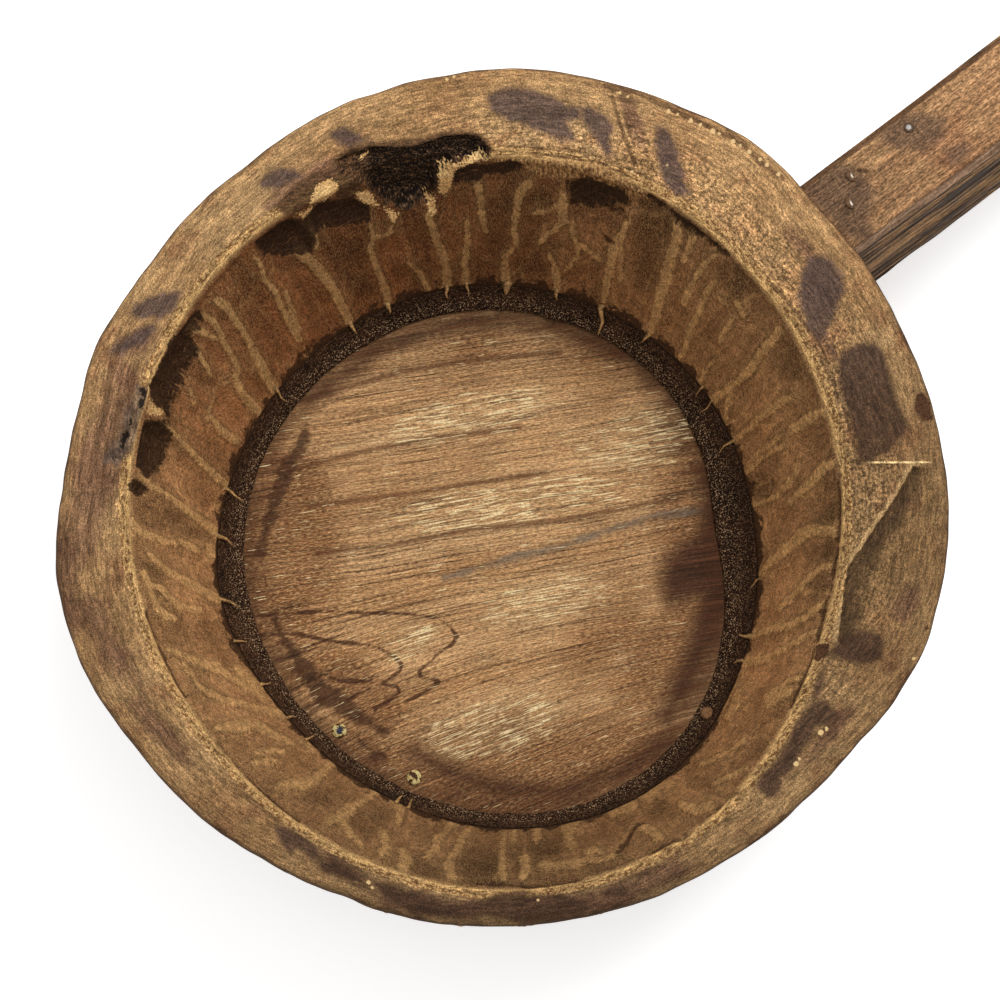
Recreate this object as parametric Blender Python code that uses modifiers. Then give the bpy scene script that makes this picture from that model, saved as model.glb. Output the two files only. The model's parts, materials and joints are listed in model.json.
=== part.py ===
"""Handled wooden bowl: a hollowed log, its let-in base board, a pitch seal and a tenoned, nailed handle.

Every outline is measured from the bowl's own axis, with angles counted from the handle. The handle runs
along +X and the bowl stands on z = 0. One empty on the bowl's axis carries the pieces, and it is placed so
that the world origin lies under the middle of the whole object.
"""

import math

import bmesh
import bpy
import numpy as np
from mathutils import Matrix

MM = 0.001
GAP = 0.3 * MM

# Heights above the surface that the bowl stands on
LEDGE_TOP = 15 * MM
BOARD_TOP = 33 * MM
WALL_FOOT = 45 * MM
RIM_TOP = 145 * MM

# Radii of the round blank that the wall is hewn from
BLANK_LEDGE = 90 * MM
BLANK_SEAT = 112 * MM
BLANK_MOUTH = 138 * MM
BLANK_FOOT = 145 * MM
BLANK_RIM = 167 * MM
BLANK_SEAL = 102 * MM

# Hewn outlines, as degrees from the handle and millimetres from the axis
RIM = (
    (0, 178), (45, 178), (75, 171), (105, 164), (135, 162), (152, 164), (180, 159),
    (210, 155), (240, 156), (270, 160), (288, 165), (302, 172), (322, 176),
)
MOUTH = (
    (0, 138.5), (30, 142), (60, 140.5), (90, 141.5), (120, 138), (150, 134.5),
    (180, 132.5), (210, 136), (240, 141), (270, 141), (300, 134.5), (330, 135.5),
)
SEAT = (
    (0, 112.5), (45, 113), (90, 110.5), (120, 109.5), (150, 111), (180, 106),
    (210, 108), (240, 114), (270, 118), (300, 114), (330, 111),
)
SEAL = (
    (0, 101.5), (45, 104.5), (90, 102.5), (135, 101), (165, 99), (195, 99.5),
    (225, 104), (255, 109.5), (285, 108), (315, 99), (330, 95), (345, 98),
)
LEDGE_WIDTH = 22 * MM

# Wall profile
RIM_ROUND = 5 * MM
RIM_BEVEL = 5 * MM
FOOT_ROUND = 4 * MM
FOOT_HEIGHT = 6 * MM
OUTER_WALL_STEPS = 6
INNER_WALL_STEPS = 5
SEGMENTS = 120

# Charred knot hollow and the shallow dish beside it: angle, radius, height and half sizes
KNOT_AT = (math.radians(64), 139 * MM, RIM_TOP - 8 * MM)
KNOT_HALF = (13 * MM, 24 * MM, 30 * MM)
DISH_AT = (math.radians(80), 150 * MM, RIM_TOP + 1 * MM)
DISH_HALF = (8 * MM, 17 * MM, 6 * MM)

# Handle
HANDLE_MIDDLE_Y = 14 * MM
HANDLE_TOP = RIM_TOP - 10 * MM
HANDLE_START = 150 * MM
HANDLE_END = 408 * MM
HANDLE_WIDTH = (34 * MM, 39 * MM)
HANDLE_HEIGHT = (52 * MM, 41 * MM)
HANDLE_LEAN = math.radians(8)
HANDLE_EDGE = 2.5 * MM
TENON_START = 152 * MM
TENON_END = 200 * MM
TENON_WIDTH = 22 * MM
TENON_DROP = 20 * MM
TENON_HEIGHT = 22 * MM

# Nails: length, head radius, shank radius and how far the head's crown stands up
NAIL_SIDES = 14
NAIL_CROWN = 0.9 * MM
NAIL_RIM = 0.7 * MM
TOE_NAIL = (42 * MM, 2.8 * MM, 1.5 * MM)
PLAIN_NAIL = (38 * MM, 2.2 * MM, 1.4 * MM)
BASE_NAIL = (27 * MM, 3.0 * MM, 1.6 * MM)
TOE_TILT = math.radians(50)
TOE_LEFT_AT = (196 * MM, 22.4 * MM, HANDLE_TOP)
TOE_RIGHT_AT = (189 * MM, 14 * MM, HANDLE_TOP)
HANDLE_NAIL_AT = (226 * MM, 24 * MM, HANDLE_TOP)
BASE_NAIL_1_AT = (-92 * MM, -21 * MM, BOARD_TOP)
BASE_NAIL_2_AT = (-79 * MM, -55 * MM, BOARD_TOP)
PEG_AT = (32.5 * MM, -107 * MM)
PEG_RADIUS = 2.6 * MM
PEG_BOTTOM = 6 * MM
PEG_TOP = 41 * MM
CUT_THROUGH = 8 * MM


def clear_scene():
    """Removes what the scene holds, so that the script can run again."""
    for old in list(bpy.data.objects):
        bpy.data.objects.remove(old)


def new_collection(name):
    """A collection of that name under the scene's own."""
    collection = bpy.data.collections.new(name)
    bpy.context.scene.collection.children.link(collection)
    return collection


def material(name, colour, roughness, metallic=0.0):
    """A plain Principled material."""
    made = bpy.data.materials.new(name)
    made.use_nodes = True
    shader = made.node_tree.nodes["Principled BSDF"]
    shader.inputs["Base Color"].default_value = (*colour, 1.0)
    shader.inputs["Roughness"].default_value = roughness
    shader.inputs["Metallic"].default_value = metallic
    return made


def around(outline, angle):
    """Radius of a hewn outline at each angle, on a smooth closed curve through its points."""
    degrees, radii = np.array(outline, dtype=float).T
    degrees = np.concatenate([degrees - 360, degrees, degrees + 360])
    radii = np.tile(radii, 3) * MM
    slopes = np.gradient(radii, degrees)
    turn = np.degrees(angle) % 360
    after = np.searchsorted(degrees, turn, side="right")
    before = after - 1
    span = degrees[after] - degrees[before]
    t = (turn - degrees[before]) / span
    return (
        radii[before] * (1 + 2 * t) * (1 - t) ** 2
        + slopes[before] * span * t * (1 - t) ** 2
        + radii[after] * t**2 * (3 - 2 * t)
        + slopes[after] * span * t**2 * (t - 1)
    )


def turned(name, profile, sides=SEGMENTS):
    """A mesh turned about +Z. The profile lists (radius, height) down its outer side.
    One that starts on the axis ends there, and any other is a closed loop."""
    count = len(profile)
    edges = [(i, i + 1) for i in range(count - 1)]
    if profile[0][0] > 0:
        edges.append((count - 1, 0))
    line = bpy.data.meshes.new(name)
    line.from_pydata([(r, 0, z) for r, z in profile], edges, [])
    blank = bpy.data.objects.new(name, line)
    bpy.context.scene.collection.objects.link(blank)
    screw = blank.modifiers.new("Turn", "SCREW")
    screw.axis = "Z"
    screw.steps = sides
    screw.render_steps = sides
    screw.use_merge_vertices = True
    screw.merge_threshold = 0.000001
    bpy.context.view_layer.update()
    mesh = bpy.data.meshes.new_from_object(blank.evaluated_get(bpy.context.evaluated_depsgraph_get()))
    bpy.data.objects.remove(blank)
    mesh.name = name
    return mesh


def hew(mesh, blank_radii, outlines, grow=0.0):
    """Moves a turned mesh so that each circle of a blank radius follows the outline paired with it."""
    points = np.empty(len(mesh.vertices) * 3)
    mesh.vertices.foreach_get("co", points)
    points = points.reshape(-1, 3)
    angle = np.arctan2(points[:, 1], points[:, 0])
    radius = np.hypot(points[:, 0], points[:, 1])
    targets = np.array([outline(angle) for outline in outlines]).T + grow
    hewn = np.array([np.interp(r, blank_radii, target) for r, target in zip(radius, targets)])
    points[:, 0] = hewn * np.cos(angle)
    points[:, 1] = hewn * np.sin(angle)
    mesh.vertices.foreach_set("co", points.ravel())
    mesh.update()


def on_axis(angle):
    """The bowl's axis, as an outline of no radius."""
    return np.zeros_like(angle)


def rim_outline(angle):
    """Outer edge of the rim."""
    return around(RIM, angle)


def mouth_outline(angle):
    """Inner edge of the rim."""
    return around(MOUTH, angle)


def seat_outline(angle):
    """Foot of the inner wall, and the seat that the board drops into."""
    return around(SEAT, angle)


def ledge_outline(angle):
    """Inner edge of the ledge under the board."""
    return around(SEAT, angle) - LEDGE_WIDTH


def inside_seat(angle):
    """Edge of the pieces that lie in the seat, clear of the wall."""
    return around(SEAT, angle) - GAP


def seal_outline(angle):
    """Edge of the board that shows inside the pitch."""
    return around(SEAL, angle)


def outer_wall():
    """Radius and height down the outside of the blank, from the rim's flat top to the foot."""
    line = []
    for step in range(3):
        turn = math.radians(45 * step)
        line.append((
            BLANK_RIM - RIM_ROUND * (1 - math.sin(turn)),
            RIM_TOP - RIM_ROUND * (1 - math.cos(turn)),
        ))
    drop = RIM_TOP - RIM_ROUND - FOOT_HEIGHT
    for step in range(1, OUTER_WALL_STEPS + 1):
        share = step / OUTER_WALL_STEPS
        bulge = math.cos(share * math.pi / 2) ** 0.8 if step < OUTER_WALL_STEPS else 0.0
        line.append((BLANK_FOOT + (BLANK_RIM - BLANK_FOOT) * bulge, RIM_TOP - RIM_ROUND - drop * share))
    line.append((BLANK_FOOT - FOOT_ROUND, 0.0))
    return line


def inner_wall():
    """Radius and height up the inside of the blank, from the foot ring to the worn edge of the mouth."""
    line = [
        (BLANK_LEDGE, 0.0),
        (BLANK_LEDGE, LEDGE_TOP),
        (BLANK_SEAT, LEDGE_TOP),
    ]
    for step in range(INNER_WALL_STEPS + 1):
        share = step / INNER_WALL_STEPS
        line.append((
            BLANK_SEAT + (BLANK_MOUTH - BLANK_SEAT) * share,
            WALL_FOOT + (RIM_TOP - RIM_BEVEL - WALL_FOOT) * share,
        ))
    line.append((BLANK_MOUTH + RIM_BEVEL, RIM_TOP))
    return line


def add_part(name, mesh, look, carrier, collection):
    """Puts a mesh in the scene as a piece of the object."""
    part = bpy.data.objects.new(name, mesh)
    collection.objects.link(part)
    part.parent = carrier
    mesh.materials.clear()
    mesh.materials.append(look)
    mesh.shade_smooth()
    mesh.set_sharp_from_angle(angle=math.radians(35))
    return part


def add_cutter(name, mesh, carrier, collection):
    """Puts a mesh in the scene as a hidden cutter."""
    cutter = bpy.data.objects.new(name, mesh)
    collection.objects.link(cutter)
    cutter.parent = carrier
    cutter.hide_render = True
    cutter.display_type = "WIRE"
    return cutter


def cut(part, cutter, operation="DIFFERENCE"):
    """Adds a Boolean of the part with the cutter."""
    boolean = part.modifiers.new(cutter.name, "BOOLEAN")
    boolean.operation = operation
    boolean.object = cutter


def box_mesh(name, low, high):
    """A box between two corners."""
    shape = bmesh.new()
    bmesh.ops.create_cube(shape, size=1.0)
    for vert in shape.verts:
        for axis in range(3):
            vert.co[axis] = high[axis] if vert.co[axis] > 0 else low[axis]
    mesh = bpy.data.meshes.new(name)
    shape.to_mesh(mesh)
    shape.free()
    return mesh


def ellipsoid_mesh(name, at, half):
    """An ellipsoid on the wall, with its half sizes across the wall, along it and in height."""
    angle, radius, height = at
    shape = bmesh.new()
    bmesh.ops.create_uvsphere(shape, u_segments=20, v_segments=10, radius=1.0)
    place = (
        Matrix.Rotation(angle, 4, "Z")
        @ Matrix.Translation((radius, 0, height))
        @ Matrix.Diagonal((*half, 1.0))
    )
    bmesh.ops.transform(shape, matrix=place, verts=shape.verts)
    mesh = bpy.data.meshes.new(name)
    shape.to_mesh(mesh)
    shape.free()
    return mesh


def nail_profile(size, grow=0.0, crown=NAIL_CROWN):
    """A nail's radius and height, with its head's seat at z = 0 and its point down."""
    length, head, shank = size
    return [
        (0.0, crown),
        (head * 0.7 + grow, crown),
        (head + grow, NAIL_RIM / 2 if crown == NAIL_CROWN else crown),
        (head + grow, -NAIL_RIM / 2 - grow),
        (shank + grow, -NAIL_RIM - head * 0.3 - grow),
        (shank + grow, -length + 3 * shank - grow),
        (0.0, -length - grow),
    ]


def make_body(looks, carrier, parts):
    """The hollowed log."""
    profile = outer_wall() + inner_wall()
    mesh = turned("bowl_body", profile)
    hew(
        mesh,
        (BLANK_LEDGE, BLANK_SEAT, BLANK_MOUTH, BLANK_RIM),
        (ledge_outline, seat_outline, mouth_outline, rim_outline),
    )
    return add_part("bowl_body", mesh, looks["wall"], carrier, parts)


def make_board(looks, carrier, parts):
    """The round bottom board, which lies on the ledge."""
    profile = [
        (0.0, BOARD_TOP),
        (BLANK_SEAT, BOARD_TOP),
        (BLANK_SEAT, LEDGE_TOP + GAP),
        (0.0, LEDGE_TOP + GAP),
    ]
    mesh = turned("base_board", profile)
    hew(mesh, (0.0, BLANK_SEAT), (on_axis, inside_seat))
    return add_part("base_board", mesh, looks["board"], carrier, parts)


def make_seal(looks, carrier, parts):
    """The ring of pitch in the corner between the wall and the board, a little hollow on its face."""
    rise = WALL_FOOT - BOARD_TOP - GAP
    depth = BLANK_SEAT - BLANK_SEAL
    profile = [
        (BLANK_SEAT, WALL_FOOT),
        (BLANK_SEAT, BOARD_TOP + GAP),
        (BLANK_SEAL, BOARD_TOP + GAP),
        (BLANK_SEAL + depth * 0.10, BOARD_TOP + GAP + rise * 0.16),
        (BLANK_SEAL + depth * 0.45, BOARD_TOP + GAP + rise * 0.38),
        (BLANK_SEAL + depth * 0.78, BOARD_TOP + GAP + rise * 0.72),
    ]
    mesh = turned("pitch_seal", profile)
    hew(mesh, (BLANK_SEAL, BLANK_SEAT), (seal_outline, inside_seat))
    return add_part("pitch_seal", mesh, looks["pitch"], carrier, parts)


def make_handle(looks, carrier, parts):
    """The bar of the handle, which widens and thins towards its end, with flanks that lean out below."""
    shape = bmesh.new()
    bmesh.ops.create_cube(shape, size=1.0)
    for vert in shape.verts:
        at_end = vert.co.x > 0
        side = 1 if vert.co.y > 0 else -1
        drop = 0.0 if vert.co.z > 0 else HANDLE_HEIGHT[at_end]
        half = HANDLE_WIDTH[at_end] / 2 + drop * math.tan(HANDLE_LEAN)
        vert.co.x = HANDLE_END if at_end else HANDLE_START
        vert.co.y = HANDLE_MIDDLE_Y + side * half
        vert.co.z = HANDLE_TOP - drop
    mesh = bpy.data.meshes.new("handle")
    shape.to_mesh(mesh)
    shape.free()
    part = add_part("handle", mesh, looks["handle"], carrier, parts)
    bevel = part.modifiers.new("Worn edges", "BEVEL")
    bevel.width = HANDLE_EDGE
    bevel.segments = 3
    return part


def join_handle(handle, body, carrier, cutters):
    """Copes the bar to the wall, and gives it a stub tenon in a blind mortise."""
    outside = [(0.0, RIM_TOP)] + outer_wall() + [(0.0, 0.0)]
    cope_mesh = turned("wall_cope", outside)
    hew(
        cope_mesh,
        (0.0, BLANK_MOUTH, BLANK_RIM),
        (on_axis, mouth_outline, rim_outline),
        grow=GAP,
    )
    cut(handle, add_cutter("wall_cope", cope_mesh, carrier, cutters))
    low = (TENON_START, HANDLE_MIDDLE_Y - TENON_WIDTH / 2, HANDLE_TOP - TENON_DROP - TENON_HEIGHT)
    high = (TENON_END, HANDLE_MIDDLE_Y + TENON_WIDTH / 2, HANDLE_TOP - TENON_DROP)
    tenon = add_cutter("tenon", box_mesh("tenon", low, high), carrier, cutters)
    cut(handle, tenon, "UNION")
    low = [value - GAP for value in low]
    high = [value + GAP for value in high]
    cut(body, add_cutter("mortise", box_mesh("mortise", low, high), carrier, cutters))


def drive_nail(name, size, at, tilt, through, looks, carrier, parts, cutters):
    """A nail with its head at a point, leaning towards +X by tilt, and its hole in each piece it goes through."""
    nail = add_part(name, turned(name, nail_profile(size), NAIL_SIDES), looks["nail"], carrier, parts)
    hole_mesh = turned(name + "_hole", nail_profile(size, GAP, CUT_THROUGH), NAIL_SIDES)
    hole = add_cutter(name + "_hole", hole_mesh, carrier, cutters)
    for item in (nail, hole):
        item.location = at
        item.rotation_euler = (0.0, tilt, 0.0)
    for part in through:
        cut(part, hole)


def drive_peg(through, looks, carrier, parts, cutters):
    """The wooden peg through the pitch and the board into the ledge."""
    profile = [
        (0.0, PEG_TOP),
        (PEG_RADIUS * 0.75, PEG_TOP),
        (PEG_RADIUS, PEG_TOP - PEG_RADIUS * 0.3),
        (PEG_RADIUS * 0.9, PEG_BOTTOM),
        (0.0, PEG_BOTTOM),
    ]
    hole = [
        (0.0, PEG_TOP + CUT_THROUGH),
        (PEG_RADIUS + GAP, PEG_TOP + CUT_THROUGH),
        (PEG_RADIUS + GAP, PEG_BOTTOM - GAP),
        (0.0, PEG_BOTTOM - GAP),
    ]
    peg = add_part("base_peg", turned("base_peg", profile, NAIL_SIDES), looks["peg"], carrier, parts)
    cutter = add_cutter("base_peg_hole", turned("base_peg_hole", hole, NAIL_SIDES), carrier, cutters)
    for item in (peg, cutter):
        item.location = (*PEG_AT, 0.0)
    for part in through:
        cut(part, cutter)


def middle_of_object():
    """Middle of the whole object in plan, measured from the bowl's axis."""
    angle = np.arange(SEGMENTS) * 2 * math.pi / SEGMENTS
    radius = rim_outline(angle)
    across = radius * np.sin(angle)
    return (HANDLE_END + (radius * np.cos(angle)).min()) / 2, (across.max() + across.min()) / 2


def main():
    clear_scene()
    parts = new_collection("handled_wooden_bowl")
    cutters = new_collection("cutters")
    looks = {
        "wall": material("wall_wood", (0.40, 0.25, 0.13), 0.75),
        "board": material("board_wood", (0.42, 0.24, 0.11), 0.70),
        "pitch": material("pitch", (0.035, 0.018, 0.010), 0.85),
        "handle": material("handle_wood", (0.33, 0.19, 0.10), 0.70),
        "nail": material("nail_iron", (0.35, 0.33, 0.31), 0.45, 1.0),
        "peg": material("peg_wood", (0.50, 0.33, 0.18), 0.80),
    }
    middle_x, middle_y = middle_of_object()
    axis = bpy.data.objects.new("bowl_axis", None)
    axis.location = (-middle_x, -middle_y, 0.0)
    parts.objects.link(axis)

    body = make_body(looks, axis, parts)
    board = make_board(looks, axis, parts)
    seal = make_seal(looks, axis, parts)
    handle = make_handle(looks, axis, parts)
    join_handle(handle, body, axis, cutters)
    cut(body, add_cutter("knot_hollow", ellipsoid_mesh("knot_hollow", KNOT_AT, KNOT_HALF), axis, cutters))
    cut(body, add_cutter("knot_dish", ellipsoid_mesh("knot_dish", DISH_AT, DISH_HALF), axis, cutters))

    nails = (
        ("toe_nail_left", TOE_NAIL, TOE_LEFT_AT, TOE_TILT, (handle, body)),
        ("toe_nail_right", TOE_NAIL, TOE_RIGHT_AT, TOE_TILT, (handle, body)),
        ("handle_nail", PLAIN_NAIL, HANDLE_NAIL_AT, 0.0, (handle,)),
        ("base_nail_1", BASE_NAIL, BASE_NAIL_1_AT, 0.0, (board, body)),
        ("base_nail_2", BASE_NAIL, BASE_NAIL_2_AT, 0.0, (board, body)),
    )
    for name, size, at, tilt, through in nails:
        drive_nail(name, size, at, tilt, through, looks, axis, parts, cutters)
    drive_peg((seal, board, body), looks, axis, parts, cutters)


main()
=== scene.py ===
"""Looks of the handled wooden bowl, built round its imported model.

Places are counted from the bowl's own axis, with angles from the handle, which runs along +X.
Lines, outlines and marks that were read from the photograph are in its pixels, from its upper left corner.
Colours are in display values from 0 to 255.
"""

import json
import math
from types import SimpleNamespace

import bpy
import numpy as np
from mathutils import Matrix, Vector, noise
from mathutils.bvhtree import BVHTree

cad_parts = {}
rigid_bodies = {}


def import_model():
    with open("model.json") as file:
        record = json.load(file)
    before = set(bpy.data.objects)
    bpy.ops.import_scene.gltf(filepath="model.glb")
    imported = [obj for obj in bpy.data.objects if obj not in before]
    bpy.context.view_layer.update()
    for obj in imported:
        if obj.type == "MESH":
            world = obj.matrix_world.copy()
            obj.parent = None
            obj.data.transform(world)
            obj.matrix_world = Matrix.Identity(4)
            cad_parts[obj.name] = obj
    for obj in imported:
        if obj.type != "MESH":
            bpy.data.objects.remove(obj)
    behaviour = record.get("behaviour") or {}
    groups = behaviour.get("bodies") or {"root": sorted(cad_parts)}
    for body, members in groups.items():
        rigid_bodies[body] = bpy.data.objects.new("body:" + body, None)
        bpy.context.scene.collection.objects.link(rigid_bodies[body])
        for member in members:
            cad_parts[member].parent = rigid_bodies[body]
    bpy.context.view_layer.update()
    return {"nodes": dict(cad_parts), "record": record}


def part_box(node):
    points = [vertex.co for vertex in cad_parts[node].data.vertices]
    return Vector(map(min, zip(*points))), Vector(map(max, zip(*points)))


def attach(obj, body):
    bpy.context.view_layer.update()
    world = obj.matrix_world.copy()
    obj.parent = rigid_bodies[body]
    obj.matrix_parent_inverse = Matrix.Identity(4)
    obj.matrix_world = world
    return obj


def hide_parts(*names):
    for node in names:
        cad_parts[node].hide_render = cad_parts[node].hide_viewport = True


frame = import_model()

MM = 0.001

# The bowl's axis lies this far inwards of the point that the record gives on its foot ring
FOOT_MOUNT_RADIUS = 120 * MM
FOOT_MOUNT = frame["record"]["mounts"][0]["pos_m"]
AXIS = Vector((FOOT_MOUNT[0], FOOT_MOUNT[1] + FOOT_MOUNT_RADIUS, 0.0))

# Heights read from the frame
RIM_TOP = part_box("bowl_body")[1].z
BOARD_BOTTOM, BOARD_TOP = (corner.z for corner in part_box("base_board"))
SEAL_BOTTOM, WALL_FOOT = (corner.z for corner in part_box("pitch_seal"))

# Wall profile, as in the solid
RIM_ROUND = 5 * MM
RIM_BEVEL = 5 * MM
FOOT_ROUND = 4 * MM
FOOT_HEIGHT = 6 * MM
WALL_BULGE = 0.8

# Fineness of the meshes
COLUMNS = 930
BLOCKS = (
    ("foot", 4), ("foot_edge", 3), ("outer", 16), ("rim_edge", 5), ("rim", 22),
    ("bevel", 5), ("inner", 46), ("seat", 2), ("ledge", 2), ("ledge_edge", 2),
)
BOARD_GRID = (220, 190)
SEAL_GRID = (26, 840)
HANDLE_STATIONS = 130

# Radius at which the wood's grain is laid round the wall and the seal
FLOW_RADIUS = 140 * MM
SEAL_FLOW_RADIUS = 110 * MM

# How far tool strokes on the wall run round for each step down, to either side
STROKE_LEAN = 0.8

# Angles whose wall the knot hollow has cut away in the solid, which the sampled outline bridges
KNOT_SPAN = (46, 96)

PHOTO_SIZE = 1000

# Depth given to places far outside an outline or a line
FAR_OUT = -20.0

# Unevenness: height, bumps to a metre, octaves and seed. Shake and the knot's twist are counted in pixels
RELIEF = {
    "lumps": (1.3 * MM, 28.0, 3, 3.1),
    "adze_bend": (0.5, 30.0, 2, 1.7),
    "weather": (0.4 * MM, 160.0, 3, 2.2),
    "shake": (1.6, 260.0, 3, 7.3),
    "chatter": (0.5 * MM, 60.0, 3, 5.5),
    "fray": (1.0, 330.0, 3, 6.0),
    "rim_waves": (0.7 * MM, 22.0, 2, 9.0),
    "rim_ripples": (0.22 * MM, 190.0, 3, 4.0),
    "knot_twist": (1.7 * MM, 0.10, 3, 8.8),
    "grain_bend": (5 * MM, 26.0, 2, 1.0),
    "growth_lines": (1.0, 330.0, 2, 6.0),
    "growth_bands": (0.6, 120.0, 2, 2.0),
    "board_sag": (0.3 * MM, 12.0, 2, 5.0),
    "pitch_lumps": (1.2 * MM, 75.0, 3, 2.0),
    "pitch_grains": (1.0, 520.0, 2, 4.0),
    "pitch_edge": (0.12, 140.0, 3, 6.0),
    "grooves": (1.0, 420.0, 3, 3.0),
    "fine_grooves": (0.7, 900.0, 2, 8.0),
    "handle_waves": (0.6 * MM, 16.0, 2, 4.0),
    "handle_grain": (0.16 * MM, 500.0, 2, 1.0),
    "end_grain": (0.4 * MM, 300.0, 3, 5.0),
}
RELIEF_FADE = 0.8
RELIEF_STEP = 2.1

# Scallops of the adze down the outside: columns all round, size, and numbers that scatter the columns' starts
ADZE_COUNT = 30
ADZE_TALL = 62 * MM
ADZE_DEPTH = 2.4 * MM
ADZE_SCATTER = (12.9898, 43758.5453)

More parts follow.
